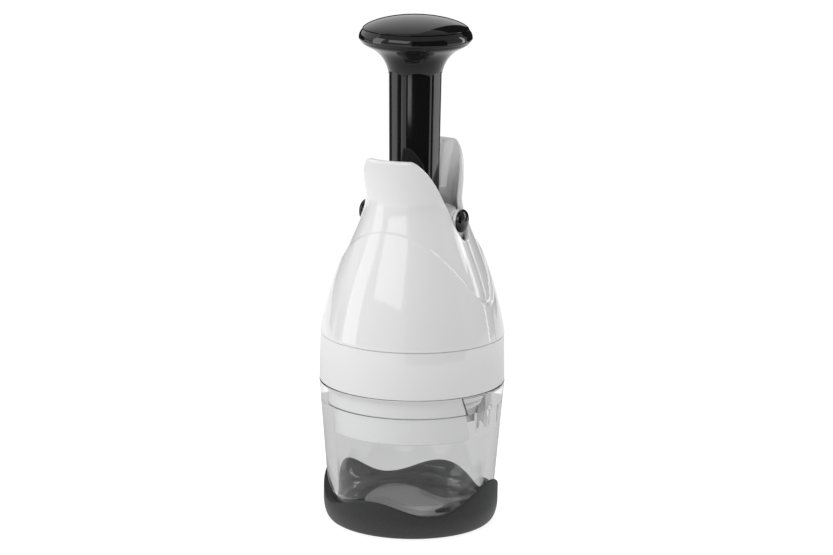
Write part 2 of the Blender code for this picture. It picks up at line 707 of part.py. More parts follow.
def make_pivots(parent):
    """Steel pivot pins in the frame, with black domed caps on their outer ends."""
    for side, label in ((-1, "left"), (1, "right")):
        inner = FRAME_HALF_SPAN - PIN_DEPTH + GAP
        outer = CAP_PLANE + CAP_SOCKET - GAP
        pin = rod_along_x(side * inner, side * outer, PIN_RADIUS, PIVOT_Z)
        piece(f"pivot_pin_{label}", pin, "steel", parent)
        profile = [(PIN_RADIUS + GAP, 0.0), (CAP_RADIUS, 0.0), (CAP_RADIUS, CAP_SKIRT)]
        for step in range(1, 5):
            turn = QUARTER * step / 5
            height = CAP_SKIRT + (CAP_HEIGHT - CAP_SKIRT) * math.sin(turn)
            profile.append((CAP_RADIUS * math.cos(turn), height))
        profile += [(0.0, CAP_HEIGHT)]
        start = [(0.0, CAP_SOCKET), (PIN_RADIUS + GAP, CAP_SOCKET)]
        shape = turned(start + profile, 24)
        turn = Matrix.Rotation(side * QUARTER, 3, "Y")
        bmesh.ops.rotate(shape, verts=shape.verts, matrix=turn)
        bmesh.ops.translate(shape, verts=shape.verts, vec=(side * CAP_PLANE, 0.0, PIVOT_Z))
        piece(f"pivot_cap_{label}", shape, "black_plastic", parent)


def hexagon(apothem, height, turn=0.0):
    """Hexagon whose flats face +X and -X before it is turned."""
    ring = []
    for corner in range(6):
        a = math.radians(30.0 + 60.0 * corner) + turn
        ring.append((apothem * HEX_CORNER * math.cos(a), apothem * HEX_CORNER * math.sin(a), height))
    return ring


def make_frame(parent):
    """Inner frame: a guide hub on two struts, screwed to the collar's roof."""
    outer, inner = FRAME_HALF_SPAN, FRAME_HALF_SPAN - FRAME_STRUT
    foot_low = ROOF_Z + GAP
    foot_top = foot_low + FRAME_FOOT_THICKNESS
    hub = disc(1.0, HUB_LOW_Z, HUB_TOP_Z, 36)
    bmesh.ops.scale(hub, verts=hub.verts, vec=(outer, HUB_HALF_WIDTH, 1.0))
    made = piece("frame", hub, "nylon", parent)
    lumps, cuts = [], []
    for side in (-1, 1):
        x = sorted((side * inner, side * outer))
        lumps.append(block((x[0], -FRAME_STRUT_HALF_WIDTH, foot_low + FRAME_FOOT_THICKNESS / 2),
                           (x[1], FRAME_STRUT_HALF_WIDTH, HUB_LOW_Z + GAP)))
        x = sorted((side * inner, side * FRAME_FOOT_END))
        lumps.append(block((x[0], -FRAME_FOOT_HALF_WIDTH, foot_low), (x[1], FRAME_FOOT_HALF_WIDTH, foot_top)))
        cuts.append(rod_along_x(side * (outer - PIN_DEPTH), side * (outer + GAP), PIN_RADIUS + GAP, PIVOT_Z))
    guide = HANDLE_APOTHEM + GUIDE_PLAY
    cuts.append(stacked([hexagon(guide, HUB_LOW_Z - GAP), hexagon(guide, HUB_TOP_Z + GAP)]))
    for x, y in screw_places():
        cuts.append(disc(SCREW_SHANK + GAP, foot_low - GAP, foot_top + GAP, 12, (x, y)))
    combine(made, "UNION", lumps)
    combine(made, "DIFFERENCE", cuts)
    return made


def make_frame_screws(parent):
    """Four pan-head screws through the frame's feet into the roof."""
    head_z = ROOF_Z + GAP + FRAME_FOOT_THICKNESS + GAP
    for number, (x, y) in enumerate(screw_places(), 1):
        profile = [(0.0, ROOF_Z - SCREW_BITE), (SCREW_SHANK, ROOF_Z - SCREW_BITE), (SCREW_SHANK, head_z),
                   (SCREW_HEAD, head_z), (SCREW_HEAD, head_z + SCREW_HEAD_HEIGHT * 0.6),
                   (SCREW_HEAD * 0.7, head_z + SCREW_HEAD_HEIGHT), (0.0, head_z + SCREW_HEAD_HEIGHT)]
        shape = turned(profile, 12)
        bmesh.ops.translate(shape, verts=shape.verts, vec=(x, y, 0.0))
        piece(f"frame_screw_{number}", shape, "steel", parent)


def face_teeth(inner, outer, flat_z, tooth_z, rise, shift=0.0):
    """Ring with saw teeth on one face; teeth that hang down slope the other way, to mesh."""
    shape = bmesh.new()
    step = math.copysign(math.tau / TOOTH_COUNT, rise)
    flat, low, high = [], [], []
    for tooth in range(TOOTH_COUNT):
        a = step * tooth + shift
        for radius, store in ((inner, 0), (outer, 1)):
            x, y = radius * math.cos(a), radius * math.sin(a)
            flat.append(shape.verts.new((x, y, flat_z)))
            low.append(shape.verts.new((x, y, tooth_z)))
            high.append(shape.verts.new((x, y, tooth_z + rise)))
    for tooth in range(TOOTH_COUNT):
        i, j = 2 * tooth, 2 * ((tooth + 1) % TOOTH_COUNT)
        shape.faces.new((flat[i], flat[j], flat[j + 1], flat[i + 1]))
        shape.faces.new((low[i], low[i + 1], high[j + 1], high[j]))
        shape.faces.new((high[j], high[j + 1], low[j + 1], low[j]))
        shape.faces.new((flat[i + 1], flat[j + 1], low[j + 1], high[j + 1], low[i + 1]))
        shape.faces.new((flat[j], flat[i], low[i], high[j], low[j]))
    return shape


def make_index_drive(parent):
    """Fixed ratchet ring on the roof and the index nut whose twisted bore turns the rod."""
    ring = face_teeth(INDEX_INNER, INDEX_RADIUS, RING_Z, TEETH_Z, TOOTH_HEIGHT)
    piece("ratchet_ring", ring, "nylon", parent)
    nut_face = TEETH_Z + TOOTH_HEIGHT + TOOTH_PLAY
    nut = turned([(0.0, nut_face), (INDEX_RADIUS, nut_face), (INDEX_RADIUS, NUT_TOP_Z), (0.0, NUT_TOP_Z)], 36)
    made = piece("index_nut", nut, "nylon", parent)
    teeth = face_teeth(INDEX_INNER, INDEX_RADIUS, nut_face + TOOTH_PLAY, nut_face,
                       -TOOTH_HEIGHT * NUT_TOOTH_SHARE, NUT_TOOTH_SHIFT)
    combine(made, "UNION", [teeth])
    bore = twisted_hex(ROD_APOTHEM + ROD_PLAY, nut_face - TOOTH_HEIGHT, NUT_TOP_Z + GAP, 6)
    combine(made, "DIFFERENCE", [stacked(bore)])


def twisted_hex(apothem, low, high, rows):
    """Rings of a hexagon that turns steadily as it rises from the roof."""
    rings = []
    for height in np.linspace(low, high, rows):
        rings.append(hexagon(apothem, height, ROD_TWIST * (max(height, ROOF_Z) - ROOF_Z)))
    return rings


def make_washers(head, plunger):
    """Washers under and over the return spring."""
    inner = ROD_APOTHEM * HEX_CORNER + 2 * GAP
    outer = HANDLE_BORE - 2 * GAP
    lower = washer(inner, outer, LOW_WASHER_Z, LOW_WASHER_Z + WASHER_THICKNESS)
    upper = washer(inner, outer, TOP_WASHER_Z, TOP_WASHER_Z + WASHER_THICKNESS)
    piece("lower_washer", lower, "steel", head)
    piece("thrust_washer", upper, "steel", plunger)


def make_spring(parent):
    """Return spring: one wire that winds up between its two washers, with upright ends."""
    straight = 2 * SPRING_WIRE
    low, high = SPRING_LOW_Z + straight, SPRING_TOP_Z - straight
    points = [(SPRING_RADIUS, 0.0, SPRING_LOW_Z)]
    count = SPRING_TURNS * SPRING_POINTS
    for step in range(count + 1):
        a = math.tau * step / SPRING_POINTS
        height = low + (high - low) * step / count
        points.append((SPRING_RADIUS * math.cos(a), SPRING_RADIUS * math.sin(a), height))
    points.append((SPRING_RADIUS, 0.0, SPRING_TOP_Z))
    start = parent.matrix_world.translation
    curve = bpy.data.curves.new("return_spring", "CURVE")
    curve.dimensions = "3D"
    curve.bevel_depth = SPRING_WIRE
    curve.bevel_resolution = 1
    curve.resolution_u = 1
    curve.render_resolution_u = 0
    curve.use_fill_caps = True
    wire = curve.splines.new("POLY")
    wire.points.add(len(points) - 1)
    for knot, point in zip(wire.points, points):
        knot.co = (*(Vector(point) - start), 1.0)
    made = bpy.data.objects.new("return_spring", curve)
    bpy.context.scene.collection.objects.link(made)
    made.parent = parent
    made.data.materials.append(material("return_spring_finish", *FINISHES["steel"]))
    clear = (high - low) / SPRING_TURNS - 2 * SPRING_WIRE
    print("least gap between curls:", round(clear * 1000, 2), "mm")
    return made


def flare_radius(height):
    """Radius of the knob's underside, sweeping out from the handle."""
    curve = bezier((HANDLE_STRAIGHT_Z, KNOB_NECK_RADIUS),
                   (HANDLE_STRAIGHT_Z + FLARE_RISE, KNOB_NECK_RADIUS + FLARE_SPREAD),
                   (HANDLE_RIM_Z - FLARE_DROP, KNOB_UNDER_RADIUS - FLARE_DRAW),
                   (HANDLE_RIM_Z, KNOB_UNDER_RADIUS))
    return float(np.interp(height, curve[:, 0], curve[:, 1]))


def handle_ring(height, arch, on_flare):
    """Ring round the handle, on its flats or out on the flare; the arch lifts it over each flat."""
    ring = []
    for sector in range(6):
        for degrees in (-CORNER_HALF, 0.0, CORNER_HALF, 17.5, 30.0, 42.5):
            a = math.radians(30.0 + 60.0 * sector + degrees)
            off_flat = 30.0 - min(abs(degrees), 60.0 - abs(degrees))
            z = height + arch * (1.0 - (off_flat / 30.0) ** 2)
            apothem = HANDLE_APOTHEM - HANDLE_DRAFT * (HANDLE_STRAIGHT_Z - z) / HANDLE_STRAIGHT
            reach = apothem / math.cos(math.radians(off_flat))
            if degrees == 0.0:
                reach *= CORNER_EASE
            if on_flare:
                reach = flare_radius(z)
            ring.append((reach * math.cos(a), reach * math.sin(a), z))
    return ring


def make_handle(parent):
    """Black hexagonal handle with a flared knob, bored from below for the rod and spring."""
    rise = HANDLE_RIM_Z - HANDLE_STRAIGHT_Z
    rings = [handle_ring(HANDLE_Z, 0.0, False), handle_ring(HANDLE_STRAIGHT_Z, FACET_ARCH, False),
             handle_ring(HANDLE_STRAIGHT_Z + FACET_LEDGE, FACET_ARCH, True)]
    for share in (0.22, 0.38, 0.56, 0.74, 0.87, 0.95, 1.0):
        rings.append(handle_ring(HANDLE_STRAIGHT_Z + rise * share, 0.0, True))
    angles = [math.atan2(y, x) for x, y, _ in rings[0]]
    for share, rim_share in KNOB_ROUND:
        radius = KNOB_RADIUS - (KNOB_RADIUS - KNOB_SEAM_RADIUS) * share
        height = HANDLE_RIM_Z + KNOB_RIM_HEIGHT * rim_share
        rings.append([(radius * math.cos(a), radius * math.sin(a), height) for a in angles])
    made = piece("handle", stacked(rings), "black_plastic", parent)
    bores = [disc(HANDLE_BORE, HANDLE_Z - GAP, SHOULDER_Z),
             disc(HANDLE_TOP_BORE, SHOULDER_Z - GAP, HANDLE_TOP_Z + GAP)]
    bores += [stop_screw(side, GAP) for side in (-1, 1)]
    combine(made, "DIFFERENCE", bores)
    return made


def make_knob_cap(parent):
    """Domed cap that closes the knob, with a spigot in the handle's bore."""
    spigot = HANDLE_TOP_BORE - GAP
    profile = [(0.0, DOME_Z - DOME_SPIGOT), (spigot, DOME_Z - DOME_SPIGOT),
               (spigot, DOME_Z), (KNOB_SEAM_RADIUS, DOME_Z)]
    for step in range(1, 7):
        turn = QUARTER * step / 7
        rise = DOME_HEIGHT * math.sin(turn) ** DOME_FULLNESS
        profile.append((KNOB_SEAM_RADIUS * math.cos(turn), DOME_Z + rise))
    profile.append((0.0, DOME_Z + DOME_HEIGHT))
    return piece("knob_cap", turned(profile), "black_plastic", parent)


def stop_screw(side, play):
    """Set screw through the stop ring into the handle, or with play its hole."""
    inner, outer = HANDLE_BORE + GAP - 2 * play, STOP_RING_RADIUS - GAP + 2 * play
    middle = (STOP_TOP_Z + STOP_LOW_Z) / 2
    return rod_along_x(side * inner, side * outer, STOP_SCREW_RADIUS + play, middle, 12)


def make_stop(parent):
    """Stop ring under the guide hub, and its two set screws."""
    ring = disc(STOP_RING_RADIUS, STOP_LOW_Z, STOP_TOP_Z, 36)
    made = piece("stop_ring", ring, "nylon", parent)
    hole = HANDLE_APOTHEM + GAP
    cuts = [stacked([hexagon(hole, STOP_LOW_Z - GAP), hexagon(hole, STOP_TOP_Z + GAP)])]
    for side, label in ((-1, "left"), (1, "right")):
        cuts.append(stop_screw(side, GAP))
        piece(f"stop_screw_{label}", stop_screw(side, 0.0), "steel", parent)
    combine(made, "DIFFERENCE", cuts)


def make_rod_seat(parent):
    """Bearing seat for the rod's end against the handle's inner shoulder."""
    seat = washer(ROD_END_RADIUS + GAP, HANDLE_BORE - GAP, SEAT_LOW_Z, SEAT_TOP_Z)
    piece("rod_seat", seat, "nylon", parent)


def make_rod(parent):
    """Twisted drive rod with a turned upper end, a clip groove and a stepped tip."""
    hex_top = SEAT_LOW_Z - GAP
    clip_z = SEAT_TOP_Z + GAP
    groove_top = clip_z + CLIP_THICKNESS + 2 * GAP
    top = SHOULDER_Z + ROD_HEAD_RISE
    rings = [hexagon(ROD_TIP_RADIUS / HEX_CORNER, z) for z in (ROD_TIP_Z, ROD_STEP_Z + GAP)]
    rings += twisted_hex(ROD_APOTHEM, ROD_STEP_Z + GAP, ROOF_Z, 2)
    rings += twisted_hex(ROD_APOTHEM, ROOF_Z, hex_top, ROD_ROWS)[1:]
    end_turn = ROD_TWIST * (hex_top - ROOF_Z)
    steps = ((ROD_END_RADIUS, hex_top), (ROD_END_RADIUS, clip_z - GAP),
             (ROD_GROOVE_RADIUS, clip_z - GAP), (ROD_GROOVE_RADIUS, groove_top),
             (ROD_END_RADIUS, groove_top), (ROD_END_RADIUS, top))
    rings += [hexagon(radius / HEX_CORNER, height, end_turn) for radius, height in steps]
    made = piece("twist_rod", stacked(rings), "steel", parent)
    screw_hole = disc(SCREW_SHANK + GAP, ROD_TIP_Z - GAP, ROD_TIP_Z + 3 * SCREW_BITE, 12)
    combine(made, "DIFFERENCE", [screw_hole])
    clip = washer(ROD_GROOVE_RADIUS + GAP, CLIP_RADIUS, clip_z, clip_z + CLIP_THICKNESS, 24)
    piece("rod_clip", clip, "steel", parent)


def make_carrier(parent):
    """Round blade carrier with a stepped hole for the rod and holes for the rivets."""
    rim = CARRIER_RIM
    profile = [(0.0, CARRIER_Z), (CARRIER_RADIUS - rim, CARRIER_Z),
               (CARRIER_RADIUS, CARRIER_Z + rim), (CARRIER_RADIUS, CARRIER_TOP_Z - rim),
               (CARRIER_RADIUS - rim, CARRIER_TOP_Z), (0.0, CARRIER_TOP_Z)]
    made = piece("blade_carrier", turned(profile, 36), "nylon", parent)
    socket = ROD_APOTHEM + GAP
    cuts = [stacked(twisted_hex(socket, ROD_STEP_Z, CARRIER_TOP_Z + GAP, 2)),
            disc(ROD_TIP_RADIUS + GAP, CARRIER_Z - GAP, ROD_STEP_Z + GAP, 18)]
    for x, y in rivet_places():
        cuts.append(disc(RIVET_RADIUS + GAP, CARRIER_Z - GAP, CARRIER_TOP_Z + GAP, 12, (x, y)))
    combine(made, "DIFFERENCE", cuts)
    under, tip = CARRIER_Z - GAP, CARRIER_Z + 2 * SCREW_BITE
    head_low = under - SCREW_HEAD_HEIGHT
    profile = [(0.0, head_low), (SCREW_HEAD, head_low), (SCREW_HEAD + 2 * GAP, under),
               (SCREW_SHANK, under), (SCREW_SHANK, tip), (0.0, tip)]
    piece("carrier_screw", turned(profile, 16), "steel", parent)


def blade_corners():
    """Corners of the blade's W, seen from above."""
    half = BLADE_HALF_SPAN
    up, down = BLADE_SWING_UP, -BLADE_SWING_DOWN
    middle = up + BLADE_MIDDLE_RISE
    return [(-half, up), (-half / 2, down), (0.0, middle), (half / 2, down), (half, up)]


def rivet_places():
    """A rivet in the mounting tab inside each bend of the blade."""
    places = []
    for x, y in blade_corners()[1:4]:
        places.append((x, y * RIVET_BEND_SHARE - math.copysign(BLADE_TAB * 0.8, y)))
    return places


def strip_outline(corners, width):
    """Outline of a strip of constant width along a bent line, with mitred bends."""
    left, right = [], []
    for index, corner in enumerate(corners):
        here = Vector(corner)
        before = here - Vector(corners[index - 1]) if index else Vector(corners[1]) - here
        after = Vector(corners[index + 1]) - here if index < len(corners) - 1 else before
        normal = Vector((-before.y, before.x)).normalized() + Vector((-after.y, after.x)).normalized()
        normal.normalize()
        reach = width / 2 / normal.dot(Vector((-before.y, before.x)).normalized())
        left.append(here + normal * reach)
        right.append(here - normal * reach)
    return left + right[::-1]


def make_blade(parent):
    """Bent steel blade with a ground lower edge and three riveted tabs."""
    corners = blade_corners()
    widths = ((BLADE_EDGE, BLADE_Z), (BLADE_THICKNESS, BLADE_Z + BLADE_BEVEL), (BLADE_THICKNESS, BLADE_TOP_Z))
    rings = [[(x, y, height) for x, y in strip_outline(corners, width)] for width, height in widths]
    made = piece("blade", stacked(rings), "steel", parent)
    tabs, holes = [], []
    tab_low = BLADE_TOP_Z - BLADE_THICKNESS
    for (x, y), (rx, ry) in zip(corners[1:4], rivet_places()):
        half = BLADE_TAB * 0.35
        root, end = y * TAB_ROOT_SHARE, ry - math.copysign(BLADE_TAB * 0.3, y)
        flat = [(x - TAB_ROOT_HALF, root), (x + TAB_ROOT_HALF, root), (x + half, end), (x - half, end)]
        tabs.append(stacked([[(px, py, z) for px, py in flat] for z in (tab_low, BLADE_TOP_Z)]))
        holes.append(disc(RIVET_RADIUS + GAP, tab_low - GAP, BLADE_TOP_Z + GAP, 12, (rx, ry)))
    combine(made, "UNION", tabs)
    combine(made, "DIFFERENCE", holes)
    low, high = tab_low - GAP, CARRIER_TOP_Z + GAP
    bottom, top = low - RIVET_HEAD_HEIGHT, high + RIVET_HEAD_HEIGHT / 2
    crown = RIVET_HEAD * 0.8
    for number, (x, y) in enumerate(rivet_places(), 1):
        profile = [(0.0, bottom), (crown, bottom), (RIVET_HEAD, low), (RIVET_RADIUS, low),
                   (RIVET_RADIUS, high), (RIVET_HEAD, high), (crown, top), (0.0, top)]
        shape = turned(profile, 12)
        bmesh.ops.translate(shape, verts=shape.verts, vec=(x, y, 0.0))
        piece(f"blade_rivet_{number}", shape, "steel", parent)


def build():
    """Make every body from the foot up."""
    clear_scene()
    base = empty_at("base_body", (0.0, 0.0, 0.0))
    head = empty_at("head_slide", (0.0, 0.0, SEAT_Z), base)
    front = empty_at("front_wing_axis", (0.0, 0.0, PIVOT_Z), head)
    rear = empty_at("rear_wing_axis", (0.0, 0.0, PIVOT_Z), head)
    plunger = empty_at("plunger_slide", (0.0, 0.0, HANDLE_Z), head)
    turn = empty_at("blade_axis", (0.0, 0.0, CARRIER_Z), plunger)
    make_foot(base)
    make_cup(base)
    make_collar(head)
    make_frame(head)
    make_frame_screws(head)
    make_index_drive(head)
    make_washers(head, plunger)
    make_pivots(head)
    make_wing("front_wing", front, FRONT_TAB_RISE, FRONT_NOTCH_START, EAR_PLANE, False)
    make_wing("rear_wing", rear, REAR_TAB_RISE, REAR_NOTCH_START, OUTER_EAR_PLANE, True)
    make_handle(plunger)
    make_knob_cap(plunger)
    make_stop(plunger)
    make_rod_seat(plunger)
    make_spring(head)
    make_rod(turn)
    make_carrier(turn)
    make_blade(turn)


build()
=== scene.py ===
"""Looks of the hand-pressed food chopper: white hinged housing, clear cup, rubber foot, black plunger."""

import json
from math import ceil, cos, dist, pi, radians, sin, sqrt, tan, tau

import bmesh
import bpy
import numpy as np
from mathutils import Matrix, Vector

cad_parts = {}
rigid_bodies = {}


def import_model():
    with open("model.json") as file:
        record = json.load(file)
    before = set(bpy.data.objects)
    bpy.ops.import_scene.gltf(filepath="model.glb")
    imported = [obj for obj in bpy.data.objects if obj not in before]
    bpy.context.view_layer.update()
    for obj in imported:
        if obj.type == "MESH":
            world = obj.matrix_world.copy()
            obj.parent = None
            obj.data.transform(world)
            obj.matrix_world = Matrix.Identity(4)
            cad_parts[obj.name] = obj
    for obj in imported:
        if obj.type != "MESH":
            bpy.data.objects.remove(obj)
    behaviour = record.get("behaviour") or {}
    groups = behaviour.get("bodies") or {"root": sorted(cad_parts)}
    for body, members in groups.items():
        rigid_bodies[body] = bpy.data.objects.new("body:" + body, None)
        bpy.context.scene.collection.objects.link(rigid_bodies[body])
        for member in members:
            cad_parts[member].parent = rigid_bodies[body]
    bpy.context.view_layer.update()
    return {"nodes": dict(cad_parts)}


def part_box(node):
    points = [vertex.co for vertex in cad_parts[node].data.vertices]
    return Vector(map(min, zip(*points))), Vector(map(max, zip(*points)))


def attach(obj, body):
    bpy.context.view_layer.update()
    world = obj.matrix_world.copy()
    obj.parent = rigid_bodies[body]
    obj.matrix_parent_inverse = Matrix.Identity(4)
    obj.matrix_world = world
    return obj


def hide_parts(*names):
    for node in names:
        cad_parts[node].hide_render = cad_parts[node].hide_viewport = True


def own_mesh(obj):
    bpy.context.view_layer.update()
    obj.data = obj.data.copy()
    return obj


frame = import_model()

MM = 0.001
GAP = 0.3 * MM
QUARTER = pi / 2

# Levels and radii that the frame gives
CUP_LOW, CUP_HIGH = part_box("cup")
COLLAR_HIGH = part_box("collar")[1]
FRONT_LOW, FRONT_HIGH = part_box("front_wing")
REAR_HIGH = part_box("rear_wing")[1]
HANDLE_LOW, HANDLE_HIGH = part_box("handle")
DOME_LOW, DOME_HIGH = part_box("knob_cap")
CAP_LOW, CAP_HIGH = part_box("pivot_cap_right")
SPRING_LOW, SPRING_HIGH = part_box("return_spring")
RIM_Z = CUP_HIGH.z
SEAT_Z = RIM_Z + GAP
WING_Z = FRONT_LOW.z
PIVOT_Z = (CAP_LOW.z + CAP_HIGH.z) / 2
FRONT_TAB_Z = FRONT_HIGH.z
REAR_TAB_Z = REAR_HIGH.z

# Camera, fitted to the ellipses of the rim, the collar and the knob
IMAGE_WIDTH = 833
FOCAL_PIXELS = 3042.0
SENSOR = 36.0
CAMERA_AZIMUTH = radians(26.0)
CAMERA_REACH = 1.474
CAMERA_HEIGHT = 0.4709
CAMERA_PITCH = 0.2315
CAMERA_ROLL = 0.0113
CAMERA_SIDE = 1.7 * MM

# Studio
STUDIO_Z = 0.13
SKY_REACH = 1.95

# Cup
CUP_RIM_RADIUS = CUP_HIGH.x
CUP_TAPER = 5.6 * MM
CUP_FILLET_WIDTH = 9.0 * MM
CUP_FILLET_HEIGHT = 16.0 * MM
CUP_WALL = 6.5 * MM
CUP_BORE = CUP_RIM_RADIUS - CUP_WALL
CUP_BORE_DRAFT = 0.075
CUP_FLOOR = 5.0 * MM
CUP_INNER_FILLET = 4.0 * MM
SOCKET_STEP = 1.6 * MM
SOCKET_RADIUS = CUP_BORE + SOCKET_STEP
SPIGOT_DEPTH = 10.2 * MM
SKIRT_DEPTH = 24.3 * MM
KEY_PLAY = radians(1.2)
WINDOW_TOP_HALF = radians(30.5)
WINDOW_LOW_HALF = radians(17.8)
GUSSET_ANGLE = radians(13.0)
GUSSET_WIDTH = 3.4 * MM
GUSSET_HEIGHT = 12.5 * MM
GUSSET_DEPTH = 1.8 * MM

# Foot
FOOT_WALL = 1.2 * MM
FOOT_EDGE_MEAN = 16.9 * MM
FOOT_WAVE_FOUR = 4.6 * MM
FOOT_WAVE_TWO = 2.7 * MM
FOOT_FILLET_WIDTH = 4.1 * MM
FOOT_FILLET_HEIGHT = 12.0 * MM

# Wings
WING_WALL = 2.7 * MM
SEAM_GAP = 0.4 * MM
WAIST_Z = PIVOT_Z + 12.0 * MM
WAIST_RADIUS = 24.4 * MM
TAB_FLARE = 6.2 * MM
TAB_BEND_Z = WAIST_Z - 7.0 * MM
NOTCH_Z = PIVOT_Z - 9.5 * MM
NOTCH_SLOPE_RISE = 23.5 * MM
NOTCH_MOUTH = radians(72.0)
NOTCH_MOUTH_RISE = 15.5 * MM
HOOD_FRONT_Z = PIVOT_Z - 4.0 * MM
HOOD_SIDE_Z = PIVOT_Z - 41.5 * MM
HOOD_STEP_FRONT = 0.3 * MM
HOOD_STEP_SIDE = 1.9 * MM
HOOD_STEP_HEIGHT = 1.1 * MM
SEAM_ROLL_WIDTH = 2.6 * MM
SEAM_ROLL_DEPTH = 0.5 * MM
EAR_PLANE = 21.8 * MM
EAR_THICKNESS = 1.6 * MM
EAR_RADIUS = 5.5 * MM
EAR_BORE = 2.8 * MM
REAR_EAR_REACH = 9.1 * MM

# Handle and knob
HANDLE_APOTHEM = 11.6 * MM
HANDLE_DRAFT = 0.9 * MM
CORNER_REACH = 0.975
FLAT_CROWN = 0.2 * MM
FACET_ARCH = 1.8 * MM
FACET_LEDGE = 0.3 * MM
STRAIGHT_Z = HANDLE_LOW.z + 92.2 * MM
RIM_LOW_Z = HANDLE_LOW.z + 108.5 * MM
BELLY_Z = RIM_LOW_Z + 1.5 * MM
NECK_RADIUS = 13.2 * MM
UNDER_RADIUS = 26.9 * MM
KNOB_RADIUS = HANDLE_HIGH.x
KNOB_SEAM_RADIUS = DOME_HIGH.x
HANDLE_BORE = 8.4 * MM
HANDLE_TOP_BORE = 7.2 * MM
HANDLE_SHOULDER = 36.0 * MM
DOME_FULLNESS = 1.41


def placed(name, data):
    """Put new data into the scene as an object."""
    made = bpy.data.objects.new(name, data)
    bpy.context.scene.collection.objects.link(made)
    return made


def mesh_object(name, points, faces):
    """Make a mesh object from points and faces, with its normals turned out."""
    mesh = bpy.data.meshes.new(name)
    mesh.from_pydata([tuple(point) for point in points], [], faces)
    shape = bmesh.new()
    shape.from_mesh(mesh)
    bmesh.ops.remove_doubles(shape, verts=shape.verts, dist=1e-7)
    bmesh.ops.recalc_face_normals(shape, faces=shape.faces)
    shape.to_mesh(mesh)
    shape.free()
    return placed(name, mesh)


def smooth(made, angle=35.0):
    """Shade smooth, keeping edges sharper than the angle."""
    made.data.shade_smooth()
    made.data.set_sharp_from_angle(angle=radians(angle))
    return made


def finished(made):
    """Replace an object's mesh with what its modifiers make of it."""
    bpy.context.view_layer.update()
    depsgraph = bpy.context.evaluated_depsgraph_get()
    result = bpy.data.meshes.new_from_object(made.evaluated_get(depsgraph))
    made.modifiers.clear()
    made.data = result
    return made


def bevelled(made, width, segments=2, angle=50.0):
    """Round an object's sharp edges."""
    step = made.modifiers.new("edges", "BEVEL")
    step.width = width
    step.segments = segments
    step.limit_method = "ANGLE"
    step.angle_limit = radians(angle)
    step.use_clamp_overlap = True
    return finished(made)


def lofted(name, rings, loop=False, caps=False):
    """Skin a stack of closed rings; loop joins the last ring to the first."""
    rings = np.asarray(rings, float)
    count, around = rings.shape[:2]
    faces = []
    for row in range(count if loop else count - 1):
        low, high = row * around, (row + 1) % count * around
        for step in range(around):
            nxt = (step + 1) % around
            faces.append((low + step, low + nxt, high + nxt, high + step))
    points = list(rings.reshape(-1, 3))
    if caps:
        for row, turn in ((0, -1), (count - 1, 1)):
            centre = len(points)
            points.append(rings[row].mean(axis=0))
            start = row * around
            for step in range(around):
                pair = (start + step, start + (step + 1) % around)
                faces.append((*pair[::turn], centre))
    return mesh_object(name, points, faces)


def filleted(corners, steps=5):
    """Round the corners of a closed outline of (radius, height, fillet)."""
    outline = []
    count = len(corners)
    for index, (r, z, fillet) in enumerate(corners):
        here = np.array((r, z))
        if fillet <= 0.0:
            outline.append(here)
            continue
        before = np.array(corners[index - 1][:2]) - here
        after = np.array(corners[(index + 1) % count][:2]) - here
        reach = min(fillet, np.linalg.norm(before) * 0.45, np.linalg.norm(after) * 0.45)
        start = here + before / np.linalg.norm(before) * reach
        end = here + after / np.linalg.norm(after) * reach
        for share in np.linspace(0.0, 1.0, steps):
            outline.append((1 - share) ** 2 * start + 2 * share * (1 - share) * here + share ** 2 * end)
    return outline


def closer(outline, step):
    """Add points to an outline until none of its parts is longer than the step."""
    result = []
    for here, after in zip(outline, outline[1:]):
        count = max(1, ceil(dist(here, after) / step))
        result += [np.array(here) + (np.array(after) - here) * share / count for share in range(count)]
    return result + [outline[-1]]


def full_turn(count):
    """Evenly spaced angles of a full turn."""
    return np.linspace(0.0, tau, count, endpoint=False)


def round_z(outline, count):
    """Rings of an outline of (radius, height) turned round the tool's axis."""
    turn = full_turn(count)
    return [[(r * cos(a), r * sin(a), z) for a in turn] for r, z in outline]


def round_pivot(outline, count, side):
    """Rings of an outline of (radius, distance) turned round the pivots' axis, on one side."""
    turn = full_turn(count)
    return [[(side * x, r * cos(a), PIVOT_Z + r * sin(a)) for a in turn] for r, x in outline]


def bezier(first, second, third, last, count=80):
    """Sample a cubic Bezier curve."""
    t = np.linspace(0.0, 1.0, count)[:, None]
    points = [np.array(point, dtype=float) for point in (first, second, third, last)]
    weights = ((1 - t) ** 3, 3 * (1 - t) ** 2 * t, 3 * (1 - t) * t ** 2, t ** 3)
    return sum(weight * point for weight, point in zip(weights, points))


def eased(value):
    """Rise from 0 to 1 with flat ends."""
    value = np.clip(value, 0.0, 1.0)
    return value * value * (3.0 - 2.0 * value)


def add(tree, kind, terms, **settings):
    """Add a node with its settings, and set its sockets or link them to other nodes'."""
    node = tree.nodes.new(kind)
    for label, value in settings.items():
        setattr(node, label, value)
    for label, given in terms.items():
        for term in given if isinstance(given, list) else [given]:
            if isinstance(term, bpy.types.NodeSocket):
                tree.links.new(term, node.inputs[label])
            else:
                node.inputs[label].default_value = term
    return node.outputs


def new_material(name, values):
    """Node material whose shader has these even values; return it with its tree."""
    made = bpy.data.materials.new(name)
    made.use_nodes = True
    for label, value in values.items():
        made.node_tree.nodes["Principled BSDF"].inputs[label].default_value = value
    return made, made.node_tree


def noise(tree, scale, detail=3.0, stretch=None):
    """Noise on Object coordinates, stretched where a finish is drawn out."""
    place = add(tree, "ShaderNodeTexCoord", {})["Object"]
    if stretch:
        place = add(tree, "ShaderNodeMapping", {"Scale": stretch, "Vector": place})["Vector"]
    return add(tree, "ShaderNodeTexNoise", {"Scale": scale, "Detail": detail, "Vector": place})["Fac"]


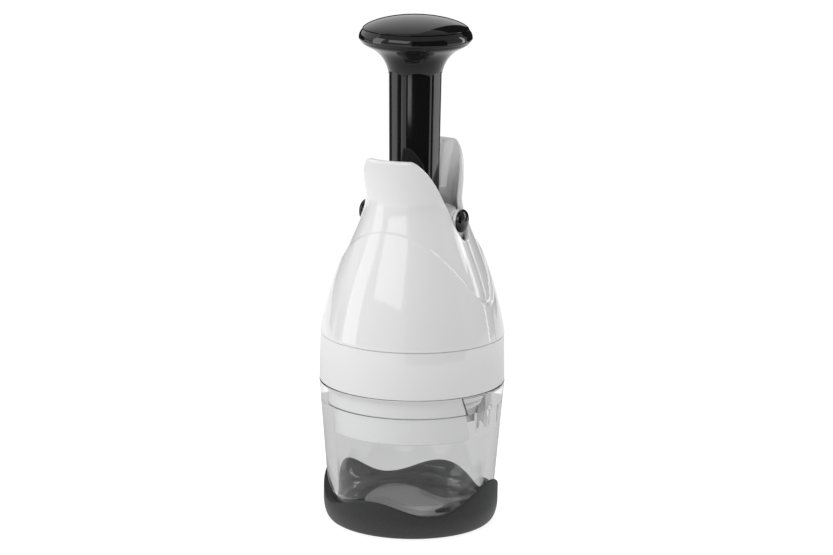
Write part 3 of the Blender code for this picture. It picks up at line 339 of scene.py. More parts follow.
def drive(tree, height, colours=None, rough=None, bump=None):
    """Let a noise set the shader's colour, roughness and fine relief."""
    shader = tree.nodes["Principled BSDF"]
    if colours:
        dark, light = colours
        mix = add(tree, "ShaderNodeMix", {
            "A": (*dark, 1.0), "B": (*light, 1.0), "Factor": height}, data_type="RGBA")
        tree.links.new(mix["Result"], shader.inputs["Base Color"])
    if rough:
        span = add(tree, "ShaderNodeMapRange", {
            "From Min": 0.3, "From Max": 0.7, "To Min": rough[0], "To Max": rough[1], "Value": height})
        tree.links.new(span["Result"], shader.inputs["Roughness"])
    if bump:
        relief = add(tree, "ShaderNodeBump", {"Strength": bump[0], "Distance": bump[1], "Height": height})
        tree.links.new(relief["Normal"], shader.inputs["Normal"])


def gloss_plastic(name, dark, light, rough):
    """Moulded gloss plastic: faint colour drift, faint flow marks, even polish."""
    made, tree = new_material(name, {"IOR": 1.5})
    drive(tree, noise(tree, 18.0), colours=(dark, light))
    drive(tree, noise(tree, 60.0, 4.0), rough=(rough * 0.8, rough * 1.25))
    drive(tree, noise(tree, 45.0, 2.0), bump=(0.04, 0.0004))
    return made


def clear_plastic(name):
    """Thick clear moulding with a trace of grey and faint flow marks."""
    made, tree = new_material(name, {
        "Base Color": (0.95, 0.952, 0.952, 1.0), "Transmission Weight": 1.0, "IOR": 1.5})
    drive(tree, noise(tree, 40.0), rough=(0.0, 0.02))
    drive(tree, noise(tree, 30.0, 1.0), bump=(0.03, 0.0003))
    return made


def soft_rubber(name):
    """Matte grey rubber with a fine speckle."""
    made, tree = new_material(name, {"Sheen Weight": 0.02, "Specular IOR Level": 0.35})
    drive(tree, noise(tree, 1500.0, 2.0), ((0.012, 0.0122, 0.0128), (0.046, 0.047, 0.049)),
          (0.48, 0.62), (0.35, 0.0001))
    return made


def steel(name, scale, rough):
    """Bare steel with fine drawn lines round its axis."""
    made, tree = new_material(name, {"Metallic": 1.0})
    drive(tree, noise(tree, scale, 4.0, (1.0, 1.0, 14.0)), ((0.50, 0.50, 0.51), (0.68, 0.68, 0.69)),
          (rough * 0.7, rough * 1.4), (0.06, 0.0001))
    return made


def matte_nylon(name):
    """Moulded nylon with a fine satin grain."""
    made, tree = new_material(name, {})
    drive(tree, noise(tree, 900.0), ((0.72, 0.72, 0.70), (0.80, 0.80, 0.79)), (0.34, 0.46), (0.12, 0.0001))
    return made


# Finishes: material slot and material
WHITE = "white_plastic", gloss_plastic("housing_white", (0.775, 0.775, 0.78), (0.805, 0.805, 0.81), 0.055)
BLACK = "black_plastic", gloss_plastic("plunger_black", (0.004, 0.004, 0.004), (0.007, 0.007, 0.008), 0.06)
CLEAR = "clear_plastic", clear_plastic("cup_clear")
RUBBER = "grey_rubber", soft_rubber("foot_rubber")
BRIGHT_STEEL = "steel", steel("turned_steel", 700.0, 0.24)
BLADE_STEEL = "steel", steel("ground_blade_steel", 400.0, 0.18)
NYLON = "nylon", matte_nylon("mechanism_nylon")


def dressed(made, body, finish, *nodes):
    """Give a piece its body and material, and hide the nodes it stands for."""
    slot, material = finish
    made.data.materials.clear()
    made.data.materials.append(material)
    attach(made, body)
    if nodes:
        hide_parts(*nodes)
    return made


def cup_outer(z):
    """Outer radius of the cup at a height."""
    above = z - CUP_LOW.z
    radius = CUP_RIM_RADIUS - CUP_TAPER * (1.0 - above / (RIM_Z - CUP_LOW.z))
    share = np.clip(1.0 - above / CUP_FILLET_HEIGHT, 0.0, 1.0)
    return radius - CUP_FILLET_WIDTH * (1.0 - np.sqrt(1.0 - share * share))


def window_half(z):
    """Half the angle of the collar's side windows at a height."""
    share = np.clip((z - (SEAT_Z - SKIRT_DEPTH)) / SKIRT_DEPTH, 0.0, 1.0)
    return WINDOW_LOW_HALF + (WINDOW_TOP_HALF - WINDOW_LOW_HALF) * share


def make_foot():
    """Rubber boot whose wall and wavy edge follow the cup by a rule that Geometry Nodes works out."""
    angles = full_turn(288)
    mean = FOOT_EDGE_MEAN
    radius = cup_outer(mean + FOOT_WAVE_FOUR + FOOT_WAVE_TWO) + GAP + FOOT_WALL
    low, lip, floor = FOOT_FILLET_HEIGHT * 0.85, FOOT_WALL / 2, CUP_LOW.z - GAP
    levels = [(radius * 0.02, 0.0, 0.0, 0.0), (radius * 0.5, 0.0, 0.0, 0.0)]  # radius, height, rise, hug
    for share in np.linspace(0.0, 1.0, 14) ** 1.6:
        across = 1.0 - sqrt(1.0 - (1.0 - share) ** 2)
        levels.append((radius - FOOT_FILLET_WIDTH * across, low * share, 0.0, 0.0))
    levels += [(radius, low + (mean - lip - low) * share, share, 0.0) for share in (0.25, 0.5, 0.75, 1.0)]
    for turn in np.linspace(0.2, pi - 0.2, 7):
        levels.append((radius - lip + lip * cos(turn), mean - lip + lip * sin(turn), 1.0, 0.0))
    levels += [(radius - 2 * lip, floor + (mean - lip - floor) * share, share, 1.0)
               for share in np.linspace(1.0, 0.0, 16)]
    levels += [(radius * 0.5, floor, 0.0, 0.0), (radius * 0.02, floor, 0.0, 0.0)]
    rings = [np.stack((r * np.cos(angles), r * np.sin(angles), np.full_like(angles, z)), axis=1)
             for r, z, *_ in levels]
    blank = lofted("foot_blank", rings, caps=True)
    for label, column in (("rise", 2), ("hug", 3)):
        share = np.repeat([level[column] for level in levels], len(angles))
        share = np.concatenate((share, np.zeros(len(blank.data.vertices) - len(share))))
        blank.data.attributes.new(label, "FLOAT", "POINT").data.foreach_set("value", share)
    values = {"Wave of four": FOOT_WAVE_FOUR, "Wave of two": FOOT_WAVE_TWO,
              "Rim radius": CUP_RIM_RADIUS + GAP, "Rim height": RIM_Z - CUP_LOW.z,
              "Floor height": CUP_LOW.z, "Taper": CUP_TAPER,
              "Fillet width": CUP_FILLET_WIDTH, "Fillet height": CUP_FILLET_HEIGHT, "Finish": RUBBER[1]}
    made = grown("rubber_foot", wavy_wall_tree(values), values, blank)
    return dressed(smooth(made, 40.0), "base", RUBBER, "foot")


def node_tree(name, labels, **others):
    """Geometry Nodes tree with named inputs: return it, its sockets, what they give and a math maker."""
    tree = bpy.data.node_groups.new(name, "GeometryNodeTree")
    kinds = {"Geometry": "NodeSocketGeometry", **dict.fromkeys(labels, "NodeSocketFloat"), **others,
             "Finish": "NodeSocketMaterial"}
    inputs = {label: tree.interface.new_socket(label, in_out="INPUT", socket_type=kind)
              for label, kind in kinds.items()}
    tree.interface.new_socket("Geometry", in_out="OUTPUT", socket_type="NodeSocketGeometry")
    given = add(tree, "NodeGroupInput", {})

    def calc(operation, *terms, clamp=False):
        terms = {place: given[term] if isinstance(term, str) else term for place, term in enumerate(terms)}
        return add(tree, "ShaderNodeMath", terms, operation=operation, use_clamp=clamp)[0]

    return tree, inputs, given, calc


def closed_off(tree, given, shape):
    """End a tree in Realize Instances and Set Material."""
    real = add(tree, "GeometryNodeRealizeInstances", {"Geometry": shape})[0]
    paint = add(tree, "GeometryNodeSetMaterial", {"Geometry": real, "Material": given["Finish"]})[0]
    add(tree, "NodeGroupOutput", {"Geometry": paint})


def wavy_wall_tree(labels):
    """Rule that lifts a round wall into two waves and keeps its inside against the cup."""
    tree, inputs, given, calc = node_tree("wavy_wall", labels)
    place = add(tree, "GeometryNodeInputPosition", {})[0]
    x, y, z = add(tree, "ShaderNodeSeparateXYZ", {"Vector": place})
    rise, hug = (add(tree, "GeometryNodeInputNamedAttribute", {"Name": label}, data_type="FLOAT")["Attribute"]
                 for label in ("rise", "hug"))
    turn = calc("ARCTAN2", y, x)
    four = calc("MULTIPLY", calc("COSINE", calc("MULTIPLY", turn, 4.0)), "Wave of four")
    two = calc("MULTIPLY", calc("COSINE", calc("MULTIPLY", turn, 2.0)), "Wave of two")
    height = calc("ADD", z, calc("MULTIPLY", calc("ADD", four, two), rise))
    above = calc("SUBTRACT", height, "Floor height")
    depth = calc("SUBTRACT", 1.0, calc("DIVIDE", above, "Rim height"))
    into = calc("SUBTRACT", 1.0, calc("DIVIDE", above, "Fillet height"), clamp=True)
    curl = calc("SUBTRACT", 1.0, calc("SQRT", calc("SUBTRACT", 1.0, calc("MULTIPLY", into, into))))
    wall = calc("SUBTRACT", "Rim radius", calc("MULTIPLY", depth, "Taper"))
    wall = calc("SUBTRACT", wall, calc("MULTIPLY", curl, "Fillet width"))
    own = calc("SQRT", calc("ADD", calc("MULTIPLY", x, x), calc("MULTIPLY", y, y)))
    radius = calc("ADD", own, calc("MULTIPLY", calc("SUBTRACT", wall, own), hug))
    spot = add(tree, "ShaderNodeCombineXYZ", {
        "X": calc("MULTIPLY", calc("COSINE", turn), radius),
        "Y": calc("MULTIPLY", calc("SINE", turn), radius), "Z": height})[0]
    closed_off(tree, given, add(tree, "GeometryNodeSetPosition", {
        "Geometry": given["Geometry"], "Position": spot})[0])
    return tree, inputs


def fastener_tree():
    """Rule that sets a domed head with a hexagon socket and a shank on every point."""
    tree, inputs, given, calc = node_tree("set_fasteners", (
        "Head radius", "Head height", "Socket radius", "Shank radius", "Shank length"),
        Turn="NodeSocketRotation")

    def solid(sides, radius, depth, share):
        rod = add(tree, "GeometryNodeMeshCylinder", {
            "Vertices": sides, "Radius": given[radius], "Depth": given[depth]})["Mesh"]
        spot = add(tree, "ShaderNodeCombineXYZ", {"Z": calc("MULTIPLY", depth, share)})[0]
        return add(tree, "GeometryNodeTransform", {"Geometry": rod, "Translation": spot})[0]

    wide = calc("MULTIPLY", "Head radius", 1.16)
    size = add(tree, "ShaderNodeCombineXYZ", {
        "X": wide, "Y": wide, "Z": calc("MULTIPLY", "Head height", 0.995)})[0]
    ball = add(tree, "GeometryNodeMeshUVSphere", {"Segments": 64, "Rings": 48})["Mesh"]
    ball = add(tree, "GeometryNodeTransform", {"Geometry": ball, "Scale": size})[0]
    head = add(tree, "GeometryNodeMeshBoolean", {1: [solid(48, "Head radius", "Head height", 0.5), ball]},
               operation="INTERSECT")["Mesh"]
    head = add(tree, "GeometryNodeMeshBoolean", {0: head, 1: solid(6, "Socket radius", "Head height", 1.05)},
               operation="DIFFERENCE")["Mesh"]
    shank = solid(32, "Shank radius", "Shank length", -0.5)
    both = add(tree, "GeometryNodeJoinGeometry", {"Geometry": [head, shank]})[0]
    spread = add(tree, "GeometryNodeInstanceOnPoints", {
        "Points": given["Geometry"], "Instance": both, "Rotation": given["Turn"]})[0]
    closed_off(tree, given, spread)
    return tree, inputs


def set_on(name, rule, spots, turn, *sizes):
    """Grow fasteners with their heads' undersides at the given points."""
    points = placed(name, bpy.data.meshes.new(name))
    points.data.from_pydata([tuple(spot) for spot in spots], [], [])
    labels = list(rule[1])[1:]  # all inputs but the geometry
    values = dict(zip(labels, (*sizes, turn, BRIGHT_STEEL[1])))
    return smooth(grown(name, rule, values, points), 30.0)


def node_middle(name, z):
    """Point on a node's own axis at a height."""
    low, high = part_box(name)
    return (low.x + high.x) / 2, (low.y + high.y) / 2, z


def make_fasteners():
    """Screws and rivets of the mechanism, each kind set by one rule."""
    rule = fastener_tree()
    up, down = (0.0, 0.0, 0.0), (pi, 0.0, 0.0)
    names = [f"frame_screw_{number}" for number in range(1, 5)]
    low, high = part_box(names[0])
    head = 1.8 * MM
    made = set_on("frame_screws", rule, [node_middle(name, high.z - head) for name in names], up,
                  (high.x - low.x) / 2, head, 1.25 * MM, 1.25 * MM, high.z - head - low.z)
    dressed(made, "head", BRIGHT_STEEL, *names)
    low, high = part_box("carrier_screw")
    made = set_on("carrier_bolt", rule, [(0.0, 0.0, low.z + head)], down,
                  2.6 * MM, head, 1.25 * MM, 1.25 * MM, high.z - head - low.z)
    dressed(made, "blade_unit", BRIGHT_STEEL, "carrier_screw")
    names = [f"blade_rivet_{number}" for number in range(1, 4)]
    low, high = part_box(names[0])
    top, bottom = 0.4 * MM, 0.8 * MM
    spots = [node_middle(name, high.z - top) for name in names]
    upper = set_on("rivet_tops", rule, spots, up, (high.x - low.x) / 2, top, 0.7 * MM, 1.3 * MM,
                   high.z - top - low.z - bottom)
    spots = [node_middle(name, low.z + bottom) for name in names]
    lower = set_on("rivet_feet", rule, spots, down, (high.x - low.x) / 2, bottom, 0.7 * MM, 1.2 * MM, bottom)
    dressed(joined("blade_rivets", [upper, lower]), "blade_unit", BRIGHT_STEEL, *names)
    ends = []
    for side, label in ((1, "right"), (-1, "left")):
        low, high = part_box(f"stop_screw_{label}")
        reach, head = max(abs(low.x), abs(high.x)), 0.9 * MM
        ends.append(set_on(f"stop_{label}", rule, [(side * (reach - head), 0.0, (low.z + high.z) / 2)],
                           (0.0, side * QUARTER, 0.0), (high.z - low.z) / 2, head, 0.85 * MM, 1.45 * MM,
                           high.x - low.x - head))
    dressed(joined("stop_screws", ends), "plunger", BRIGHT_STEEL, "stop_screw_left", "stop_screw_right")


def make_hub_flanges():
    """Pale flanges round the pivots, seen through the wings' mouths."""
    bore, neck, wide, drop = 2.7 * MM, 4.2 * MM, 8.0 * MM, 4.0 * MM
    start, root, edge = 15.4 * MM, 19.2 * MM, 21.4 * MM
    profile = [(start, neck, 0.0), (root - MM, neck + 0.6 * MM, 0.0), (root, wide - 0.4 * MM, 0.9),
               (root + 0.3 * MM, wide, 1.0), (edge - 0.3 * MM, wide, 1.0), (edge, wide - 0.3 * MM, 1.0),
               (edge, bore, 0.0), (start, bore, 0.0)]
    turn = full_turn(72)
    for side, label in ((1, "right"), (-1, "left")):
        rings = [[(side * x, r * cos(a), PIVOT_Z - drop * lower + r * sin(a)) for a in turn]
                 for x, r, lower in profile]
        made = lofted(f"hub_flange_{label}", rings, loop=True)
        dressed(smooth(made, 40.0), "head", NYLON)


def make_mechanism():
    """Moulded and turned inner pieces: copies of the solids with clean faces and rounded edges."""
    hard = BRIGHT_STEEL
    pieces = [
        ("frame", "head", NYLON, 0.30), ("ratchet_ring", "head", NYLON, 0.12),
        ("index_nut", "head", NYLON, 0.15), ("lower_washer", "head", hard, 0.12),
        ("pivot_pin_left", "head", hard, 0.20), ("pivot_pin_right", "head", hard, 0.20),
        ("stop_ring", "plunger", NYLON, 0.25), ("rod_seat", "plunger", NYLON, 0.20),
        ("thrust_washer", "plunger", hard, 0.12),
        ("twist_rod", "blade_unit", hard, 0.15), ("rod_clip", "blade_unit", hard, 0.10),
        ("blade_carrier", "blade_unit", NYLON, 0.30), ("blade", "blade_unit", BLADE_STEEL, 0.08),
    ]
    for name, body, finish, width in pieces:
        mesh = frame["nodes"][name].data.copy()
        mesh.transform(frame["nodes"][name].matrix_world)
        shape = bmesh.new()
        shape.from_mesh(mesh)
        bmesh.ops.remove_doubles(shape, verts=shape.verts, dist=1e-6)
        bmesh.ops.dissolve_limit(shape, angle_limit=radians(0.8), verts=shape.verts, edges=shape.edges)
        shape.to_mesh(mesh)
        shape.free()
        made = placed(f"{name}_fine", mesh)
        bevelled(made, width * MM, 2, 40.0)
        smooth(made, 35.0).modifiers.new("flat_faces", "WEIGHTED_NORMAL").keep_sharp = True
        dressed(finished(made), body, finish, name)


def cup_bore(z):
    """Inner radius of the cup, which narrows steadily below its ledge."""
    return CUP_BORE - CUP_BORE_DRAFT * max(0.0, SEAT_Z - SPIGOT_DEPTH - z)


def slice_ring(inner, outer, turn, z):
    """Closed ring round a slice of a wall: along its inside and back along its outside."""
    ring = [(r * cos(a), r * sin(a), z) for r, a in zip(np.broadcast_to(inner, turn.shape), turn)]
    return ring + [(outer * cos(a), outer * sin(a), z) for a in turn[::-1]]


def make_key(name, side, ledge):
    """Block that fills the rim socket under one pivot, with rounded edges."""
    low, high, fold = ledge - SOCKET_STEP / 2, RIM_Z - 4 * GAP, 0.6 * MM
    levels = list(np.linspace(low, high - fold, 12))
    levels += [high - fold * (1.0 - sin(turn)) for turn in np.linspace(0.25, QUARTER, 6)]
    rings = []
    for z in levels:
        rise = np.clip((z - high + fold) / fold, 0.0, 1.0)
        inset = fold * (1.0 - sqrt(1.0 - rise * rise))
        half = float(window_half(z)) - KEY_PLAY - inset / CUP_BORE
        turn = half * np.sin(np.linspace(-QUARTER, QUARTER, 41))
        from_side = np.clip(1.0 - (half - np.abs(turn)) * CUP_BORE / fold, 0.0, 1.0)
        inner = CUP_BORE + inset + fold * (1.0 - np.sqrt(1.0 - from_side ** 2))
        rings.append(slice_ring(inner, SOCKET_RADIUS + SOCKET_STEP / 2, side + turn, z))
    return lofted(name, rings, caps=True)


def make_gusset(name, angle, ledge):
    """Tapered rib with a round crest that runs out down the cup's wall."""
    bite = CUP_WALL / 3
    arc = np.linspace(-QUARTER, QUARTER, 13)
    rings = []
    for down in np.linspace(0.0, 1.0, 14):
        z = ledge - GUSSET_HEIGHT * down
        half = GUSSET_WIDTH / 2 * (1.0 - 0.75 * down)
        depth = GUSSET_DEPTH * (1.0 - down ** 2.5) - 0.3 * MM * down
        wall = cup_bore(z)
        ring = [(wall - depth * cos(a) ** 0.7 + bite * (1.0 - cos(a)), half * sin(a)) for a in arc]
        ring += [(wall + bite * 1.5, half), (wall + bite * 1.5, -half)]
        rings.append([(x * cos(angle) - y * sin(angle), x * sin(angle) + y * cos(angle), z)
                      for x, y in ring])
    return lofted(name, rings, caps=True)


def make_cup():
    """Clear cup with keys in its rim socket and ribs below them."""
    ledge = SEAT_Z - SPIGOT_DEPTH - GAP
    fold = 0.5 * MM
    floor = CUP_LOW.z + CUP_FLOOR
    outline = [(CUP_BORE * 0.02, CUP_LOW.z), (CUP_BORE * 0.4, CUP_LOW.z)]
    for share in np.linspace(0.0, 1.0, 20) ** 1.8:
        z = CUP_LOW.z + CUP_FILLET_HEIGHT * share
        outline.append((float(cup_outer(z)), z))
    outline += [(float(cup_outer(z)), z) for z in np.linspace(outline[-1][1], RIM_Z - fold, 8)[1:]]
    for turn in np.linspace(0.3, QUARTER, 5):
        outline.append((CUP_RIM_RADIUS - fold * (1.0 - cos(turn)), RIM_Z - fold * (1.0 - sin(turn))))
    socket = [(CUP_RIM_RADIUS - 2 * fold, RIM_Z, 0.0), (SOCKET_RADIUS, RIM_Z, fold),
              (SOCKET_RADIUS, ledge, 0.3 * fold), (CUP_BORE, ledge, 0.3 * fold),
              (cup_bore(floor), floor, CUP_INNER_FILLET), (CUP_BORE * 0.5, floor, 0.0)]
    outline += closer(filleted(socket, 7)[1:], 1.5 * MM)
    outline.append((CUP_BORE * 0.02, floor))
    made = lofted("clear_cup", round_z(outline, 256), caps=True)
    lumps = []
    for label, side in (("right", 0.0), ("left", pi)):
        lumps.append(make_key(f"key_{label}", side, ledge))
        for sign in (-1, 1):
            lumps.append(make_gusset(f"gusset_{label}_{sign}", side + sign * GUSSET_ANGLE, ledge))
    carved(made, "UNION", lumps)
    made.visible_shadow = False
    made.visible_diffuse = False
    return dressed(smooth(made, 32.0), "base", CLEAR, "cup")


def sector(name, side, half_low, half_high, inner, outer, low, high):
    """Solid sector of a ring whose sides slant between two heights."""
    share = np.linspace(-1.0, 1.0, 24)
    rings = [slice_ring(inner, outer, side + half * share, z)
             for z, half in ((low, half_low), (high, half_high))]
    return lofted(name, rings, caps=True)


def carved(made, operation, shapes):
    """Join solids to a piece, or cut them out of it, with one exact Boolean."""
    group = bpy.data.collections.new(made.name + "_tools")
    for shape in shapes:
        bpy.context.scene.collection.objects.unlink(shape)
        group.objects.link(shape)
    bpy.context.scene.collection.children.link(group)
    step = made.modifiers.new("carve", "BOOLEAN")
    step.operation = operation
    step.solver = "EXACT"
    step.operand_type = "COLLECTION"
    step.collection = group
    finished(made)
    for shape in list(group.objects):
        bpy.data.objects.remove(shape, do_unlink=True)
    bpy.data.collections.remove(group)
    return made


def make_collar():
    """White collar with its spigot and skirt, cut away at both sides."""
    top_radius = COLLAR_HIGH.x - 0.4 * MM
    low_radius = COLLAR_HIGH.x
    spigot_z, skirt_z = SEAT_Z - SPIGOT_DEPTH, SEAT_Z - SKIRT_DEPTH
    spigot, skirt = SOCKET_RADIUS - GAP, CUP_BORE - 0.4 * MM
    skirt_low = cup_bore(skirt_z) - 0.4 * MM
    bell = skirt_low - 1.8 * MM
    roof_low, roof_high = SEAT_Z - 5.5 * MM, SEAT_Z - 1.5 * MM
    bore = 5.2 * MM
    inner, flange = top_radius - 3.0 * MM, SEAT_Z + 2.6 * MM
    fine, soft = 0.35 * MM, 0.7 * MM
    corners = [
        (low_radius, SEAT_Z, fine), (top_radius, COLLAR_HIGH.z, fine), (inner, COLLAR_HIGH.z, fine),
        (inner, flange, soft), (bell, flange, fine), (bell, roof_high, soft), (bore, roof_high, fine),
        (bore, roof_low, fine), (bell, roof_low, 2.0 * MM), (bell, skirt_z, soft), (skirt_low, skirt_z, soft),
        (skirt, spigot_z, fine), (spigot, spigot_z, soft), (spigot, SEAT_Z, fine),
    ]
    made = lofted("white_collar", round_z(filleted(corners), 192), loop=True)
    cutters = []
    wide = bell - 3 * GAP, spigot + 2 * GAP
    low, high, mouth = skirt_z + 3.5 * MM, SEAT_Z - 2 * GAP, skirt_z - 1.0 * MM
    for index, side in enumerate((0.0, pi)):
        cutters.append(sector(f"window_{index}", side, window_half(low), window_half(high), *wide, low, high))
        cutters.append(sector(f"mouth_{index}", side, window_half(skirt_z) * 1.16, window_half(low), *wide,
                              mouth, low + 0.1 * MM))
    carved(made, "DIFFERENCE", cutters)
    return dressed(smooth(made, 30.0), "head", WHITE, "collar")


SHOULDER = bezier((WING_Z, FRONT_HIGH.x), (WING_Z + 38.5 * MM, FRONT_HIGH.x - 5.775 * MM),
                  (WAIST_Z - 15.3 * MM, WAIST_RADIUS), (WAIST_Z, WAIST_RADIUS))
HOOD = bezier((0.0, HOOD_FRONT_Z), (1.08, HOOD_FRONT_Z), (1.23, HOOD_SIDE_Z), (QUARTER, HOOD_SIDE_Z))


def skin_radius(z):
    """Radius of the housing's smooth skin: shoulder, waist and flared tab."""
    share = np.maximum(z - TAB_BEND_Z, 0.0) / (FRONT_TAB_Z - TAB_BEND_Z)
    return np.interp(z, SHOULDER[:, 0], SHOULDER[:, 1]) + TAB_FLARE * share ** 2


def hood_height(phi):
    """Height of the line where the hood sits back behind the lobe."""
    return np.interp(np.abs(phi), HOOD[:, 0], HOOD[:, 1])


def notch_height(phi, top, start):
    """Height of a wing's upper edge: the tab's top, the long slope, then the mouth under the pivot."""
    curve = bezier((start, top), (start + radians(8.5), top),
                   (QUARTER - radians(24.0), NOTCH_Z + NOTCH_SLOPE_RISE), (QUARTER, NOTCH_Z), 200)
    slope = np.interp(np.abs(phi), curve[:, 0], curve[:, 1])
    open_share = np.maximum(0.0, np.cos(phi)) / cos(NOTCH_MOUTH)
    return np.minimum(slope, NOTCH_Z + NOTCH_MOUTH_RISE * open_share ** 2.5)


def step_height(phi):
    """Height of the hood's step, whose crest grows rounder towards the seams."""
    return HOOD_STEP_HEIGHT * (1.0 + 1.3 * (np.abs(phi) / QUARTER) ** 2)


def wing_radius(phi, z):
    """Outer radius of a wing, with the hood's step and the soft roll beside the seam."""
    share = (np.abs(phi) / QUARTER) ** 2
    step = HOOD_STEP_FRONT + (HOOD_STEP_SIDE - HOOD_STEP_FRONT) * share
    back = eased((z - hood_height(phi)) / step_height(phi))
    radius = skin_radius(z) + HOOD_STEP_FRONT - step * back
    from_seam = radius * (QUARTER - np.abs(phi))
    near = np.clip(1.0 - from_seam / SEAM_ROLL_WIDTH, 0.0, 1.0)
    return radius - SEAM_ROLL_DEPTH * (1.0 - np.sqrt(1.0 - near * near)) * back


def make_wing_shell(name, top, start):
    """One half shell facing -Y: outer skin, rounded edge and inner skin."""
    lip = WING_WALL / 2
    lobe_rows, step_rows, slope_rows, lip_rows = 34, 15, 46, 10
    grid = []
    share = np.linspace(-1.0, 1.0, 181)
    for phi in QUARTER * (share * 1.12 - 0.12 * share ** 5):  # closer together beside the seams
        edge = notch_height(phi, top, start) - lip
        hood = hood_height(phi)
        outer = np.concatenate((np.linspace(WING_Z, hood - 0.4 * MM, lobe_rows),
                                hood + np.linspace(0.0, 1.0, step_rows) * step_height(phi),
                                np.linspace(hood + step_height(phi) + 0.5 * MM, edge, slope_rows)))
        radius = wing_radius(phi, outer)
        rows = list(zip(radius, outer))
        middle = radius[-1] - lip
        rows += [(middle + lip * cos(turn), edge + lip * sin(turn))
                 for turn in np.linspace(0.0, pi, lip_rows + 2)[1:-1]]
        inner = np.concatenate((np.linspace(edge, hood, 30), np.linspace(hood, WING_Z, 20)[1:]))
        rows += [(r - WING_WALL, z) for r, z in zip(wing_radius(phi, inner), inner)]
        points = [(r * sin(phi), min(-r * cos(phi), -SEAM_GAP / 2), z) for r, z in rows]
        grid.append(points)
    grid = np.array(grid)
    count, rows = grid.shape[:2]
    faces = []
    for column in range(count - 1):
        for row in range(rows):
            nxt = (row + 1) % rows
            low, high = column * rows, (column + 1) * rows
            faces.append((low + row, high + row, high + nxt, low + nxt))
    outer_rows = lobe_rows + step_rows + slope_rows + lip_rows // 2
    for column, flip in ((0, 1), (count - 1, -1)):
        first = column * rows
        left = list(range(first, first + outer_rows))
        right = list(range(first + rows - 1, first + outer_rows - 1, -1))
        faces += end_faces(left, right, flip)
    return mesh_object(name, grid.reshape(-1, 3), faces)


def end_faces(left, right, flip):
    """Strip of faces between two rows of points of unlike count."""
    faces = []
    i = j = 0
    while i < len(left) - 1 or j < len(right) - 1:
        step_left = (i + 1) / len(left) <= (j + 1) / len(right)
        if j == len(right) - 1 or (step_left and i < len(left) - 1):
            face = (left[i], left[i + 1], right[j])
            i += 1
        else:
            face = (left[i], right[j + 1], right[j])
            j += 1
        faces.append(face[::flip])
    return faces


def ear_reach(turn):
    """How far a rear ear may reach in this direction, down into the front wing's mouth."""
    reach = np.linspace(EAR_RADIUS, REAR_EAR_REACH, 60)
    across = reach * max(cos(turn), 0.0) / (22.0 * MM * cos(NOTCH_MOUTH))
    mouth = NOTCH_Z - PIVOT_Z + NOTCH_MOUTH_RISE * across ** 2.5
    return max([EAR_RADIUS, *reach[reach * sin(turn) >= mouth + 0.4 * MM]])


def make_ears(name, plane, behind):
    """Pair of hinge ears whose far ends run into the wing's wall."""
    outline = []
    for t in np.radians(np.linspace(105.0, -105.0, 71)):
        reach = ear_reach(t) if behind and t < radians(-35.0) else EAR_RADIUS
        outline.append((reach * cos(t), PIVOT_Z + reach * sin(t)))
    middle = plane + EAR_THICKNESS / 2
    for drop in (14.0, 5.0, -3.0):
        z = PIVOT_Z - drop * MM
        r = float(wing_radius(radians(60.0), z)) - WING_WALL / 2
        outline.append((-sqrt(max(r * r - middle * middle, EAR_RADIUS ** 2)), z))
    made = []
    for side in (-1, 1):
        rings = [[(side * x, y, z) for y, z in outline] for x in (plane, plane + EAR_THICKNESS)]
        ear = lofted(f"{name}_{side}", rings, caps=True)
        ends = [(EAR_BORE, plane - MM), (EAR_BORE, plane + EAR_THICKNESS + MM)]
        carved(ear, "DIFFERENCE", [lofted("bore", round_pivot(ends, 48, side), caps=True)])
        made.append(bevelled(ear, 0.25 * MM, 2, 60.0))
    return joined(name, made)


def joined(name, pieces):
    """Join objects into one mesh."""
    whole = bmesh.new()
    for item in pieces:
        whole.from_mesh(item.data)
    mesh = bpy.data.meshes.new(name)
    whole.to_mesh(mesh)
    whole.free()
    for item in pieces:
        bpy.data.objects.remove(item, do_unlink=True)
    return placed(name, mesh)


def make_wings():
    """Both wings, each with its ears."""
    for body, top, start, plane, behind in (
            ("front_wing", FRONT_TAB_Z, 22.5, EAR_PLANE, False),
            ("rear_wing", REAR_TAB_Z, 15.0, EAR_PLANE + EAR_THICKNESS + GAP, True)):
        shell = make_wing_shell(f"{body}_shell", top, radians(start))
        ears = make_ears(f"{body}_ears", plane, behind)
        if behind:
            for made in (shell, ears):
                made.data.transform(Matrix.Rotation(pi, 4, "Z"))
        bevelled(shell, 0.3 * MM, 2, 80.0)
        dressed(smooth(shell, 40.0), body, WHITE, body)
        dressed(smooth(ears, 40.0), body, WHITE)


def flare_radius(z):
    """Radius of the knob's underside as it sweeps out of the handle."""
    curve = bezier((STRAIGHT_Z, NECK_RADIUS), (STRAIGHT_Z + 13.1 * MM, NECK_RADIUS + 2.3 * MM),
                   (RIM_LOW_Z - 3.3 * MM, UNDER_RADIUS - 0.6 * MM), (RIM_LOW_Z, UNDER_RADIUS), 200)
    return np.interp(z, curve[:, 0], curve[:, 1])


def soft_min(a, b, width):
    """Smaller of two lengths, with the crease between them rounded."""
    share = np.clip(0.5 + 0.5 * (b - a) / width, 0.0, 1.0)
    return b * (1 - share) + a * share - width * share * (1 - share)


